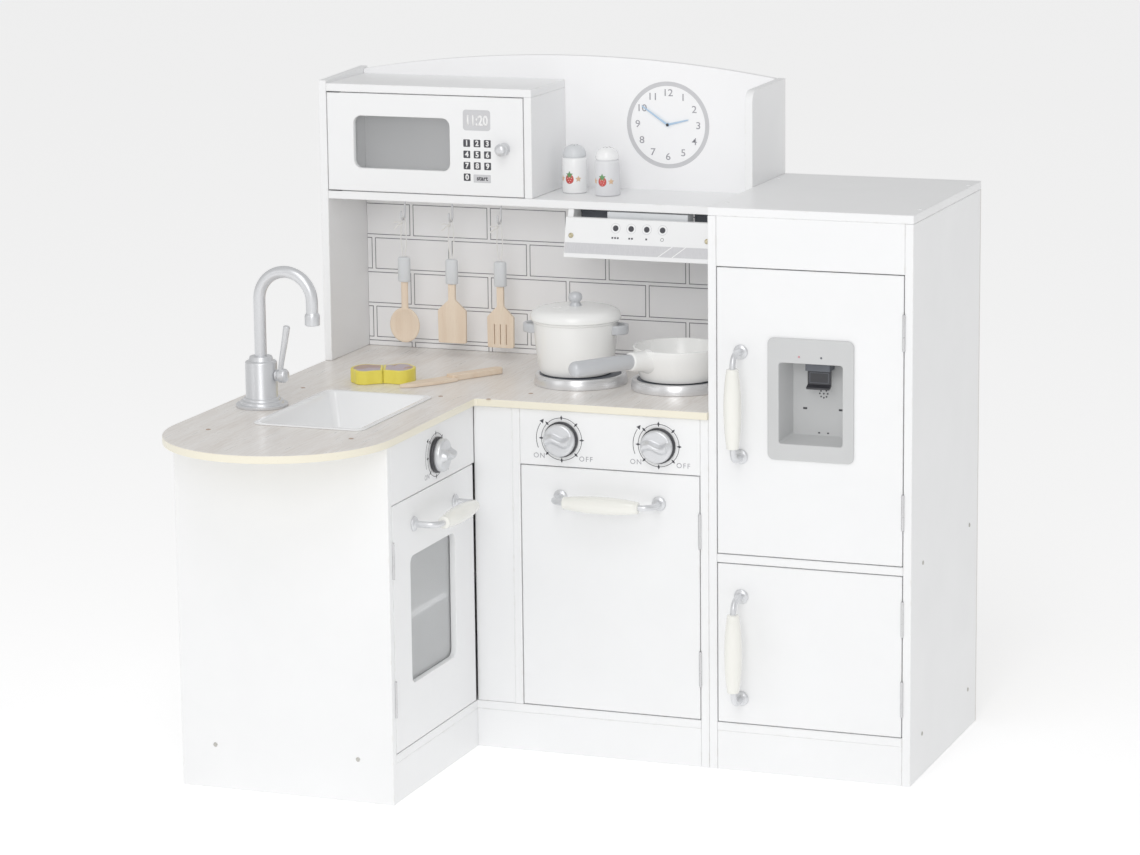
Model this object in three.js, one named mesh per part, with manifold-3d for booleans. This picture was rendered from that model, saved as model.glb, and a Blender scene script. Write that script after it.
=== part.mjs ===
// Toy corner kitchen, in millimetres, +X to the right, +Y to the back, +Z up.
// Every board, door, handle and loose piece is a mesh of its own. The model is
// laid out from the fridge's left front foot and moved to its centre at the end.
import * as THREE from 'three';
import { mergeVertices } from 'three/addons/utils/BufferGeometryUtils.js';
import Module from 'manifold-3d';

const wasm = await Module();
wasm.setup();

// ---- driving dimensions -----------------------------------------------------
const BOARD = 12;
const GAP = 0.3;
const DOOR = { thick: 9, gap: 1.5 };
const SHEET = 3.7;
const FRIDGE = { width: 298, depth: 362, height: 814, header: 731, midShelf: 305.5 };
const BACK = FRIDGE.depth - SHEET;
const BASE = { shelfTop: 70, top: 510.7 };
const STOVE = { left: -298.5, panelBottom: 429 };
const WING = { inner: -358, outer: -684, front: -314, panelBottom: 426, shelf: 243 };
const WORKTOP = { bottom: 511, top: 522, lip: 5, endRadius: 165, endY: -307 };
const WALL = { front: 346, left: 952, crown: 981, right: 955.5 };
const UPPER = { front: 204, shelfTop: 783, leftTop: 949, backTop: 955 };
const MICROWAVE = { right: -342, top: 945 };
const HOOD = { left: -286, right: -54 };
const SINK = { x0: -582, x1: -412, y0: -276, y1: -13, depth: 52, rim: 6, wall: 2 };
const HANDLE = { spacing: 150, reach: 37.5, grip: 114, gripRadius: 11.5, arm: 4.2, rose: 9 };
const CORNER_GAP = 6; // the wing door's free edge clears the stove handle as it swings
const KNOB = { radius: 24, base: 26, depth: 28 };
const CLOCK = { x: -178.5, z: 882, hour: 36, minute: 50 };
const HOOK = { xs: [-579, -501, -422], y: 272, wire: 1.3, bend: 7, low: 732.8 };
const TAP = { x: -623, y: -149, base: 37.5, body: 23, neck: 8.7, arch: 41, rise: 155 };
const BURNER = { radius: 69, height: 15, left: [-250, 155], right: [-99.5, 158] };
const POT = { x: -257, y: 155, foot: 53, rim: 64, height: 80, handleTurn: 8 };
const PAN = { foot: 56, rim: 66, height: 47, reach: 141, turn: 240 };

const paint = (color, roughness = 0.45, metalness = 0) =>
  new THREE.MeshStandardMaterial({ color, roughness, metalness });
const WHITE = paint('#f3f3f1');
const OAK = paint('#d8cbbd', 0.5);
const PLASTIC = paint('#f6f6f6', 0.25);
const SILVER = paint('#b5b7b9', 0.35, 0.6);
const STEEL = paint('#c9cbcc', 0.25, 1);
const IVORY = paint('#f2efe4', 0.3);
const GREY = paint('#a6a8ab', 0.45);
const BLACK = paint('#1d1d1f', 0.5);
const CLEAR = paint('#eef3f5', 0.05);
const BEECH = paint('#e2c6a3', 0.55);
const YELLOW = paint('#f0d93a', 0.45);
const BLUE = paint('#9cc9ea', 0.4);
const COTTON = paint('#f2f0ea', 0.9);

// ---- helpers ----------------------------------------------------------------
const kitchen = new THREE.Group();

function addMesh(name, geometry, material, parent = kitchen) {
  const mesh = new THREE.Mesh(geometry, material);
  mesh.name = name;
  parent.add(mesh);
  return mesh;
}

// A plain position-only geometry with its shared vertices merged.
function bare(geometry) {
  const copy = geometry.index ? geometry.clone() : mergeVertices(geometry.clone(), 1e-4);
  copy.deleteAttribute('normal');
  copy.deleteAttribute('uv');
  return mergeVertices(copy, 1e-4);
}

// Turns every triangle round where the closed surface would face inwards.
function outward(geometry) {
  const g = bare(geometry);
  const p = g.attributes.position;
  const index = Array.from(g.index.array);
  const a = new THREE.Vector3();
  const b = new THREE.Vector3();
  const c = new THREE.Vector3();
  const kept = [];
  let volume = 0;
  for (let i = 0; i < index.length; i += 3) {
    const [ia, ib, ic] = index.slice(i, i + 3);
    if (ia === ib || ib === ic || ia === ic) {
      continue;
    }
    a.fromBufferAttribute(p, ia);
    b.fromBufferAttribute(p, ib);
    c.fromBufferAttribute(p, ic);
    volume += a.dot(b.cross(c));
    kept.push(ia, ib, ic);
  }
  if (volume < 0) {
    kept.reverse();
  }
  g.setIndex(kept);
  return g;
}

function toSolid(geometry) {
  const g = outward(geometry);
  return new wasm.Manifold(new wasm.Mesh({
    numProp: 3,
    vertProperties: new Float32Array(g.attributes.position.array),
    triVerts: new Uint32Array(g.index.array),
  }));
}

function toGeometry(solid) {
  const mesh = solid.getMesh();
  const g = new THREE.BufferGeometry();
  g.setAttribute('position', new THREE.BufferAttribute(mesh.vertProperties, 3));
  g.setIndex(new THREE.BufferAttribute(mesh.triVerts, 1));
  g.computeVertexNormals();
  return g;
}

function join(...pieces) {
  return toGeometry(pieces.map(toSolid).reduce((sum, next) => sum.add(next)));
}

function cut(piece, ...tools) {
  return toGeometry(tools.map(toSolid).reduce((sum, next) => sum.subtract(next), toSolid(piece)));
}

function boxGeometry([x0, x1], [y0, y1], [z0, z1]) {
  const g = new THREE.BoxGeometry(x1 - x0, y1 - y0, z1 - z0);
  return g.translate((x0 + x1) / 2, (y0 + y1) / 2, (z0 + z1) / 2);
}

function board(name, x, y, z, material = WHITE, parent = kitchen) {
  const g = new THREE.BoxGeometry(x[1] - x[0], y[1] - y[0], z[1] - z[0]);
  const mesh = addMesh(name, g, material, parent);
  mesh.position.set((x[0] + x[1]) / 2, (y[0] + y[1]) / 2, (z[0] + z[1]) / 2);
  return mesh;
}

function roundedOutline(x0, x1, y0, y1, r, Kind = THREE.Shape) {
  const s = new Kind();
  s.moveTo(x0 + r, y0);
  s.lineTo(x1 - r, y0);
  s.absarc(x1 - r, y0 + r, r, -Math.PI / 2, 0, false);
  s.lineTo(x1, y1 - r);
  s.absarc(x1 - r, y1 - r, r, 0, Math.PI / 2, false);
  s.lineTo(x0 + r, y1);
  s.absarc(x0 + r, y1 - r, r, Math.PI / 2, Math.PI, false);
  s.lineTo(x0, y0 + r);
  s.absarc(x0 + r, y0 + r, r, Math.PI, 1.5 * Math.PI, false);
  return s;
}

function polygon(points) {
  const s = new THREE.Shape();
  s.moveTo(...points[0]);
  for (const point of points.slice(1)) {
    s.lineTo(...point);
  }
  s.closePath();
  return s;
}

function extruded(shape, depth, curveSegments = 5) {
  return new THREE.ExtrudeGeometry(shape, { depth, bevelEnabled: false, curveSegments });
}

// A plate lying flat: the outline in X and Y, from zLow up to zHigh.
function flatPlate(shape, zLow, zHigh, segments) {
  return extruded(shape, zHigh - zLow, segments).translate(0, 0, zLow);
}

// A plate standing like a door: the outline in X and Z, from yFront to yBack.
function frontPlate(shape, yFront, yBack, segments) {
  const g = extruded(shape, yBack - yFront, segments);
  return g.rotateX(Math.PI / 2).translate(0, yBack, 0);
}

// A plate standing like a side: the outline in Y and Z, from xLeft to xRight.
function sidePlate(shape, xLeft, xRight, segments) {
  const g = extruded(shape, xRight - xLeft, segments);
  const turn = new THREE.Matrix4().makeBasis(
    new THREE.Vector3(0, 1, 0),
    new THREE.Vector3(0, 0, 1),
    new THREE.Vector3(1, 0, 0),
  );
  return g.applyMatrix4(turn).translate(xLeft, 0, 0);
}

// A turned piece round the Z axis from a profile of [radius, height] pairs.
function turned(profile, segments = 24) {
  const points = profile.map(([r, h]) => new THREE.Vector2(r, h));
  return outward(new THREE.LatheGeometry(points, segments).rotateX(Math.PI / 2));
}

function roundSection(radius, sides) {
  const corner = (i) => (i / sides) * 2 * Math.PI;
  return polygon(Array.from({ length: sides }, (_, i) =>
    [radius * Math.cos(corner(i)), radius * Math.sin(corner(i))]));
}

function rod(points, radius, steps, sides = 8, tension = 0.5) {
  const line = points.map((point) => new THREE.Vector3(...point));
  const path = new THREE.CatmullRomCurve3(line, false, 'centripetal', tension);
  return outward(new THREE.ExtrudeGeometry(roundSection(radius, sides), {
    steps,
    extrudePath: path,
    bevelEnabled: false,
  }));
}

// ---- fridge -------------------------------------------------------------------
function buildFridge() {
  const { width, depth, height, header, midShelf } = FRIDGE;
  const sideTop = height - BOARD - GAP;
  board('fridge_side_left', [0, BOARD], [0, BACK - GAP], [0, sideTop]);
  board('fridge_side_right', [width - BOARD, width], [0, BACK - GAP], [0, sideTop]);
  const inside = [BOARD + GAP, width - BOARD - GAP];
  addMesh('fridge_top', join(
    boxGeometry([0, width], [0, depth], [height - BOARD, height]),
    boxGeometry(inside, [0.6, BOARD], [header, height - BOARD + 1]),
  ), WHITE);
  board('fridge_mid_shelf', inside, [0, BACK - GAP], [midShelf, midShelf + BOARD]);
  addMesh('fridge_base', join(
    boxGeometry(inside, [0, BACK - GAP], [BASE.shelfTop - BOARD, BASE.shelfTop]),
    boxGeometry(inside, [0.5, BOARD], [0, BASE.shelfTop - BOARD + 1]),
  ), WHITE);
}

// ---- lower cabinets -------------------------------------------------------------
function buildLowerCabinets() {
  const { top, shelfTop } = BASE;
  const shelfLow = shelfTop - BOARD;
  const backEnd = BACK - GAP;
  const wingBack = WING.inner - BOARD;
  const outerIn = WING.outer + BOARD + GAP;
  const frontIn = WING.front + BOARD + GAP;
  const rightBoard = -BOARD - GAP;

  board('stove_side_right', [rightBoard, -GAP], [0, backEnd], [0, top]);
  board('stove_control_panel', [STOVE.left + BOARD + GAP, rightBoard - GAP], [0, BOARD],
    [STOVE.panelBottom, top]);
  addMesh('corner_filler', join(
    boxGeometry([WING.inner, STOVE.left + 1], [0.8, BOARD], [shelfTop + GAP, top]),
    boxGeometry([STOVE.left, STOVE.left + BOARD], [0, backEnd], [shelfTop + GAP, top]),
  ), WHITE);

  const floorPlan = polygon([
    [outerIn, frontIn],
    [WING.inner, frontIn],
    [WING.inner, 0],
    [rightBoard - GAP, 0],
    [rightBoard - GAP, backEnd],
    [outerIn, backEnd],
  ]);
  addMesh('base_plinth', join(
    flatPlate(floorPlan, shelfLow, shelfTop),
    boxGeometry([wingBack, WING.inner - 0.5], [frontIn, BOARD], [0, shelfLow + 1]),
    boxGeometry([wingBack, rightBoard - GAP], [0.5, BOARD], [0, shelfLow + 1]),
  ), WHITE);

  board('wing_end_panel', [WING.outer, WING.inner], [WING.front, WING.front + BOARD], [0, top]);
  board('wing_control_panel', [wingBack, WING.inner], [frontIn, -GAP], [WING.panelBottom, top]);
  board('wing_shelf', [outerIn, wingBack - 2], [frontIn, backEnd],
    [WING.shelf, WING.shelf + 10]);

  const sheetOutline = polygon([
    [WING.outer, 0],
    [FRIDGE.width, 0],
    [FRIDGE.width, FRIDGE.height - BOARD - GAP],
    [0, FRIDGE.height - BOARD - GAP],
    [0, top],
    [WING.outer, top],
  ]);
  addMesh('rear_and_side_panel', join(
    frontPlate(sheetOutline, BACK, FRIDGE.depth),
    boxGeometry([WING.outer, WING.outer + BOARD], [frontIn, BACK + 1], [0, top]),
  ), WHITE);
}

// ---- worktop and sink -------------------------------------------------------------
function buildWorktop() {
  const { bottom, top, lip, endRadius, endY } = WORKTOP;
  const right = WING.inner + lip;
  const middle = (WING.outer + right) / 2;
  const s = new THREE.Shape();
  s.moveTo(-GAP, -lip);
  s.lineTo(-GAP, FRIDGE.depth);
  s.lineTo(WING.outer, FRIDGE.depth);
  s.lineTo(WING.outer, endY);
  s.absarc(middle, endY, endRadius, Math.PI, 2 * Math.PI, false);
  s.lineTo(right, -lip - 3);
  s.lineTo(right + 3, -lip);
  const inset = SINK.rim;
  s.holes.push(roundedOutline(SINK.x0 + inset - GAP, SINK.x1 - inset + GAP,
    SINK.y0 + inset - GAP, SINK.y1 - inset + GAP, 9, THREE.Path));
  addMesh('worktop', flatPlate(s, bottom, top, 14), OAK);

  const ring = (grow, z, r) => roundedOutline(SINK.x0 + grow, SINK.x1 - grow,
    SINK.y0 + grow, SINK.y1 - grow, r).getPoints(4).map((p) => [p.x, p.y, z]);
  const floor = top - SINK.depth;
  const { rim, wall } = SINK;
  addMesh('sink_basin', loft([
    ring(rim + 16, floor - wall, 6),
    ring(rim + GAP, top + GAP, 9),
    ring(0, top + GAP, 10),
    ring(0.8, top + 2.2, 10),
    ring(rim, top + 2.2, 8),
    ring(rim + wall, top, 7),
    ring(rim + 16 + wall, floor, 5),
  ]), PLASTIC);
}

// A closed surface through rings of equal point count, capped at both ends.
function loft(rings) {
  const positions = rings.flat(2);
  const n = rings[0].length;
  const index = [];
  for (let r = 0; r + 1 < rings.length; r += 1) {
    for (let i = 0; i < n; i += 1) {
      const j = (i + 1) % n;
      const a = r * n;
      const b = a + n;
      index.push(a + i, a + j, b + j, a + i, b + j, b + i);
    }
  }
  const last = (rings.length - 1) * n;
  for (let i = 1; i + 1 < n; i += 1) {
    index.push(0, i + 1, i);
    index.push(last, last + i, last + i + 1);
  }
  const g = new THREE.BufferGeometry();
  g.setAttribute('position', new THREE.Float32BufferAttribute(positions, 3));
  g.setIndex(index);
  return outward(g);
}

// ---- doors, handles and knobs ---------------------------------------------------------
function doorShape([x0, x1], [z0, z1], hole) {
  const s = polygon([[x0, z0], [x1, z0], [x1, z1], [x0, z1]]);
  if (hole) {
    s.holes.push(roundedOutline(...hole, THREE.Path));
  }
  return s;
}

// A bow handle: two flanges, bent arms and a barrel grip along Z, standing out to -Y.
function addHandle(name, parent, position, lying = false) {
  const { spacing, reach, grip, gripRadius, arm, rose } = HANDLE;
  const half = spacing / 2;
  const flange = (z) => turned([[0, 0], [rose, 0], [rose, 3], [arm, 5], [0, 5]], 12)
    .rotateX(Math.PI / 2).translate(0, -GAP, z);
  const armRod = (side) => rod([
    [0, -3, side * half],
    [0, -reach * 0.5, side * (half + 1)],
    [0, -reach * 0.86, side * (half - 4)],
    [0, -reach, side * (grip / 2 - 4)],
  ], arm, 6, 7);
  const profile = [
    [0, -grip / 2],
    [gripRadius * 0.72, -grip / 2],
    [gripRadius * 0.95, -grip / 4],
    [gripRadius, 0],
    [gripRadius * 0.95, grip / 4],
    [gripRadius * 0.72, grip / 2],
    [0, grip / 2],
  ];
  const barrel = turned(profile, 12).translate(0, -reach, 0);
  const mesh = addMesh(name, join(flange(half), flange(-half), armRod(1), armRod(-1), barrel),
    IVORY, parent);
  mesh.position.set(...position);
  mesh.rotation.y = lying ? Math.PI / 2 : 0;
}

function addKnob(name, parent, x, z) {
  const { radius, base, depth } = KNOB;
  const dial = turned([
    [0, GAP],
    [base, GAP],
    [base, 5],
    [radius, 5.5],
    [radius, 14],
    [radius - 3, 16],
    [0, 16],
  ], 24);
  const bar = boxGeometry([-radius + 1, radius - 1], [-5, 5], [12, depth]);
  const mesh = addMesh(name, join(dial, bar), SILVER, parent);
  mesh.position.set(x, 0, z);
  mesh.rotation.set(Math.PI / 2, Math.PI / 5, 0, 'YXZ');
}

function buildFronts() {
  const edge = BOARD + DOOR.gap;
  const fridgeX = [edge, FRIDGE.width - edge];
  const shelf = FRIDGE.midShelf;
  const recess = [101.6, 201.4, 480.8, 602.9, 1];
  addMesh('fridge_door', frontPlate(doorShape(fridgeX,
    [shelf + edge, FRIDGE.header - DOOR.gap], recess), 0, DOOR.thick), WHITE);
  addMesh('freezer_door', frontPlate(doorShape(fridgeX,
    [BASE.shelfTop + DOOR.gap, shelf - DOOR.gap]), 0, DOOR.thick), WHITE);
  addHandle('fridge_handle', kitchen, [48.5, 0, 536]);
  addHandle('freezer_handle', kitchen, [48.5, 0, 183]);

  addMesh('stove_door', frontPlate(doorShape(
    [STOVE.left + edge, -edge - GAP],
    [BASE.shelfTop + DOOR.gap, STOVE.panelBottom - DOOR.gap]), 0, DOOR.thick), WHITE);
  addHandle('stove_handle', kitchen, [-149.4, 0, 384.5], true);
  addKnob('stove_knob_left', kitchen, -222, 469);
  addKnob('stove_knob_right', kitchen, -74.5, 469);

  const wing = new THREE.Group();
  wing.position.x = WING.inner;
  wing.rotation.z = Math.PI / 2;
  kitchen.add(wing);
  const wingX = [WING.front + edge, -CORNER_GAP];
  addMesh('wing_door', frontPlate(doorShape(wingX,
    [BASE.shelfTop + DOOR.gap, WING.panelBottom - DOOR.gap],
    [-240, -77, 157, 340, 12]), 0, DOOR.thick), WHITE, wing);
  addMesh('wing_window', frontPlate(doorShape([-250, -67], [147, 350]),
    DOOR.thick + GAP, DOOR.thick + 2), CLEAR, wing);
  addHandle('wing_handle', wing, [-150.5, 0, 384.5], true);
  addKnob('wing_knob', wing, -140.5, 466);
}

function buildDispenser() {
  const inner = { x: [105, 198], z: [484, 599.5], back: 50 };
  const wall = 2.4;
  const bezel = frontPlate(roundedOutline(88.5, 214.3, 460.5, 634.5, 9), -3, -GAP, 4);
  const tray = boxGeometry([inner.x[0] - wall, inner.x[1] + wall], [-1, inner.back + wall],
    [inner.z[0] - wall, inner.z[1] + wall]);
  const hollow = boxGeometry(inner.x, [-9, inner.back], inner.z);
  const spout = boxGeometry([138, 174], [16, 40], [586, 600]);
  addMesh('dispenser_housing', join(cut(join(bezel, tray), hollow), spout), GREY);
  const flap = polygon([[24, 585], [28, 585], [28, 557], [17, 553], [16, 556], [24, 560]]);
  addMesh('dispenser_lever', sidePlate(flap, 139, 173), BLACK);
}

// ---- upper part -----------------------------------------------------------------------
function buildUpper() {
  const { front, shelfTop, leftTop, backTop } = UPPER;
  const leftIn = WING.outer + BOARD;
  const wallFront = WALL.front - GAP;
  const onTop = WORKTOP.top + GAP;
  const leftSide = polygon([
    [front, onTop],
    [FRIDGE.depth, onTop],
    [FRIDGE.depth, backTop],
    [front, leftTop],
  ]);
  addMesh('tall_side_left', sidePlate(leftSide, WING.outer, leftIn), WHITE);

  const wall = new THREE.Shape();
  const right = -BOARD - GAP;
  wall.moveTo(leftIn + GAP, onTop);
  wall.lineTo(right, onTop);
  wall.lineTo(right, WALL.right);
  wall.quadraticCurveTo((leftIn + right) / 2, 2 * WALL.crown - (WALL.left + WALL.right) / 2,
    leftIn + GAP, WALL.left);
  addMesh('back_wall', frontPlate(wall, WALL.front, FRIDGE.depth - 4, 20), WHITE);

  board('upper_shelf', [leftIn + GAP, -GAP], [front, wallFront], [shelfTop - BOARD, shelfTop]);
  const caseTop = MICROWAVE.top - BOARD;
  addMesh('microwave_case', join(
    boxGeometry([leftIn + GAP, MICROWAVE.right], [front, wallFront], [caseTop, MICROWAVE.top]),
    boxGeometry([MICROWAVE.right - BOARD, MICROWAVE.right], [front, wallFront],
      [shelfTop + GAP, caseTop + 1]),
  ), WHITE);

  const end = new THREE.Shape();
  end.moveTo(front, shelfTop + GAP);
  end.lineTo(WALL.front + 16, shelfTop + GAP);
  end.lineTo(WALL.front + 16, backTop);
  end.lineTo(front + 14, backTop - 2);
  end.quadraticCurveTo(front, backTop - 2, front, backTop - 18);
  addMesh('shelf_end_right', sidePlate(end, -BOARD, -GAP), WHITE);

  const doorX = [leftIn + DOOR.gap, MICROWAVE.right - BOARD - DOOR.gap];
  const doorZ = [shelfTop + DOOR.gap, caseTop - DOOR.gap];
  const knob = turned([[0, -2], [4, -2], [4, 6], [8, 9], [9.5, 14], [8, 19], [0, 22]], 14)
    .rotateX(Math.PI / 2).translate(-385, front, 856);
  addMesh('microwave_door', join(
    frontPlate(doorShape(doorX, doorZ, [-628, -472.5, 819, 898, 12]), front, front + DOOR.thick),
    knob,
  ), WHITE);
  addMesh('microwave_window', frontPlate(doorShape([-638, -462.5], [809, 908]),
    front + DOOR.thick + GAP, front + DOOR.thick + 2), CLEAR);
}

function buildHood() {
  const { left, right } = HOOD;
  const under = UPPER.shelfTop - BOARD - GAP;
  const frontBoard = polygon([[183, 702], [192, 702], [204, 760], [195, 760]]);
  const cheek = polygon([[190, 704], [300, 745], [300, under], [206, under], [201, 755]]);
  addMesh('hood', join(
    sidePlate(frontBoard, left, right),
    sidePlate(cheek, left, left + 9),
    sidePlate(cheek, right - 9, right),
    boxGeometry([-225, -100], [197, 232], [725, under - 2]),
  ), WHITE);
}

function buildClockHands() {
  const hand = (length, tail, width) => {
    const s = new THREE.Shape();
    s.moveTo(-tail, -width / 2);
    s.lineTo(length, -width / 4);
    s.lineTo(length, width / 4);
    s.lineTo(-tail, width / 2);
    return s;
  };
  const place = (name, shape, hub, yFront, degrees) => {
    const bar = frontPlate(shape, yFront, yFront + 1.4);
    const disc = new THREE.CylinderGeometry(hub, hub, 1.4, 14).translate(0, yFront + 0.7, 0);
    const mesh = addMesh(name, join(bar, disc), BLUE);
    mesh.rotation.y = THREE.MathUtils.degToRad(-degrees);
    mesh.position.set(CLOCK.x, 0, CLOCK.z);
  };
  place('clock_hour_hand', hand(CLOCK.hour, 7, 4), 4, WALL.front - 1.8, 14);
  place('clock_minute_hand', hand(CLOCK.minute, 8, 3.2), 3.6, WALL.front - 3.6, 148);
}

// ---- tap, burners and pans -----------------------------------------------------------------
function buildTap() {
  const { base, body, neck, arch, rise } = TAP;
  const column = turned([
    [0, GAP],
    [base, GAP],
    [base, 3.5],
    [30, 6],
    [29, 10],
    [body, 12],
    [body, 64],
    [body - 2, 66],
    [17.5, 67],
    [16.5, 72],
    [0, 73],
  ], 24);
  const bend = rise;
  const points = [[0, 0, 66], [0, 0, (66 + bend) / 2], [0, 0, bend]];
  for (let i = 1; i <= 8; i += 1) {
    const t = Math.PI * (1 - i / 8);
    points.push([arch + arch * Math.cos(t), 0, bend + arch * Math.sin(t)]);
  }
  points.push([2 * arch, 0, 136]);
  const spout = rod(points, neck, 18, 10);
  const nozzle = turned([[0, 121], [10, 121], [11, 123], [11, 136], [9.5, 139], [0, 139]], 16)
    .translate(2 * arch, 0, 0);
  const tap = addMesh('faucet', join(column, spout, nozzle), SILVER);
  tap.position.set(TAP.x, TAP.y, WORKTOP.top);

  const pivot = new THREE.CylinderGeometry(6.5, 6.5, 9, 12).rotateZ(Math.PI / 2)
    .translate(body + GAP + 4.5, 0, 49);
  const ball = new THREE.SphereGeometry(9.5, 12, 8).translate(34, 0, 49);
  const stalk = rod([[34, 0, 50], [36, 0, 85], [39, 0, 118]], 4, 4, 10);
  const lever = addMesh('faucet_lever', join(pivot, ball, stalk), SILVER);
  lever.position.copy(tap.position);
}

function buildBurners() {
  const { radius, height, left, right } = BURNER;
  const profile = [
    [0, GAP],
    [radius - 2, GAP],
    [radius, 2],
    [radius, height - 3],
    [radius - 2, height],
    [radius - 7, height],
    [radius - 8, height - 2],
    [0, height - 2],
  ];
  for (const [name, [x, y]] of [['burner_left', left], ['burner_right', right]]) {
    addMesh(name, turned(profile, 24), STEEL).position.set(x, y, WORKTOP.top);
  }
}

function buildPans() {
  const ground = WORKTOP.top + BURNER.height + GAP;
  const { foot, rim, height } = POT;
  const pot = turned([
    [0, 0],
    [foot - 4, 0],
    [foot, 3],
    [rim - 4, height * 0.6],
    [rim - 1, height - 4],
    [rim, height],
    [rim - 4, height],
    [rim - 8, height * 0.6],
    [foot - 5, 5],
    [0, 5],
  ], 22);
  const ear = (side) => rod([
    [side * (rim - 6), -15, height - 19],
    [side * (rim + 7), -13, height - 18],
    [side * (rim + 12), 0, height - 18],
    [side * (rim + 7), 13, height - 18],
    [side * (rim - 6), 15, height - 19],
  ], 4, 12);
  const bowl = cut(join(pot, ear(1), ear(-1)), turned([
    [0, 5],
    [foot - 5, 5],
    [rim - 8, height * 0.6],
    [rim - 4, height + 9],
    [0, height + 9],
  ], 22));
  const potMesh = addMesh('pot', bowl, PLASTIC);
  potMesh.position.set(POT.x, POT.y, ground);
  potMesh.rotation.z = THREE.MathUtils.degToRad(POT.handleTurn);

  const lid = turned([
    [0, -3],
    [rim - 6, -3],
    [rim - 6, GAP],
    [rim + 3, GAP],
    [rim + 3, 4],
    [rim - 4, 9],
    [rim * 0.6, 16],
    [5, 19],
    [5, 23],
    [9, 27],
    [9, 32],
    [5, 36],
    [0, 37],
  ], 22);
  addMesh('pot_lid', lid, PLASTIC).position.set(POT.x, POT.y, ground + height);

  const panFoot = PAN.foot;
  const panRim = PAN.rim;
  const tall = PAN.height;
  const dish = turned([
    [0, 0],
    [panFoot - 3, 0],
    [panFoot, 3],
    [panRim - 1, tall - 3],
    [panRim, tall],
    [panRim - 4, tall],
    [panFoot - 3, 6],
    [0, 5],
  ], 22);
  const grip = rod([
    [panRim - 6, 0, 32],
    [panRim + 16, 0, 34],
    [panRim + 70, 0, 36],
    [panRim + PAN.reach - 6, 0, 37],
  ], 10.5, 6, 12);
  const inside = turned([
    [0, 5],
    [panFoot - 3, 6],
    [panRim - 4, tall + 0.01],
    [panRim - 4, tall + 9],
    [0, tall + 9],
  ], 22);
  const pan = addMesh('pan', cut(join(dish, grip), inside), PLASTIC);
  pan.position.set(...BURNER.right, ground);
  pan.rotation.z = THREE.MathUtils.degToRad(PAN.turn);
}

// ---- hooks and utensils -----------------------------------------------------------------------
function addUtensil(name, x, blade, slits = []) {
  const top = 675.5;
  const cap = frontPlate(roundedOutline(-10, 10, top - 38, top, 6), HOOK.y - 6, HOOK.y + 6, 4);
  const stem = boxGeometry([-5.5, 5.5], [HOOK.y - 3, HOOK.y + 3], [top - 84, top - 30]);
  const flat = frontPlate(blade, HOOK.y - 3, HOOK.y + 3, 10);
  const body = join(cap, stem, flat);
  const cuts = slits.map((sx) =>
    boxGeometry([sx - 1.8, sx + 1.8], [HOOK.y - 9, HOOK.y + 9], [551, 585]));
  addMesh(name, cuts.length ? cut(body, ...cuts) : body, BEECH).position.x = x;
}

function addHookAndString(number, x) {
  const { y, wire, bend, low } = HOOK;
  const centre = low + bend;
  const points = [[x, y + bend, UPPER.shelfTop - BOARD - GAP], [x, y + bend, centre + 8]];
  for (let i = 0; i <= 6; i += 1) {
    const t = -Math.PI * (i / 6);
    points.push([x, y + bend * Math.cos(t), centre + bend * Math.sin(t)]);
  }
  points.push([x, y - bend, centre + 6]);
  addMesh(`hook_${number}`, rod(points, wire, 16, 6), STEEL);

  const loop = [
    [-1.6, 676.6],
    [-4.4, 700],
    [-3.4, 724],
    [-3, 731.5],
    [-2, 734.6],
    [0, 735.8],
    [2, 734.6],
    [3, 731.5],
    [3.4, 724],
    [4.4, 700],
    [1.6, 676.6],
  ];
  addMesh(`string_${number}`, rod(loop.map(([dx, z]) => [x + dx, y, z]), 0.8, 26, 8), COTTON);
}

function buildUtensils() {
  HOOK.xs.forEach((x, i) => addHookAndString(i + 1, x));
  const spoon = new THREE.Shape();
  spoon.absellipse(0, 571, 21, 27, 0, 2 * Math.PI, false, 0);
  addUtensil('spoon', HOOK.xs[0], spoon);
  const paddle = (halfTop, halfLow, low, high) => {
    const s = new THREE.Shape();
    s.moveTo(-halfLow + 3, low);
    s.lineTo(halfLow - 3, low);
    s.quadraticCurveTo(halfLow, low, halfLow, low + 3);
    s.lineTo(halfTop, high - 14);
    s.quadraticCurveTo(halfTop, high, 4, high);
    s.lineTo(-4, high);
    s.quadraticCurveTo(-halfTop, high, -halfTop, high - 14);
    s.lineTo(-halfLow, low + 3);
    s.quadraticCurveTo(-halfLow, low, -halfLow + 3, low);
    return s;
  };
  addUtensil('spatula', HOOK.xs[1], paddle(17, 21, 547, 611));
  addUtensil('slotted_spatula', HOOK.xs[2], paddle(17, 20, 544, 603), [-9.5, 0, 9.5]);
}

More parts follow.
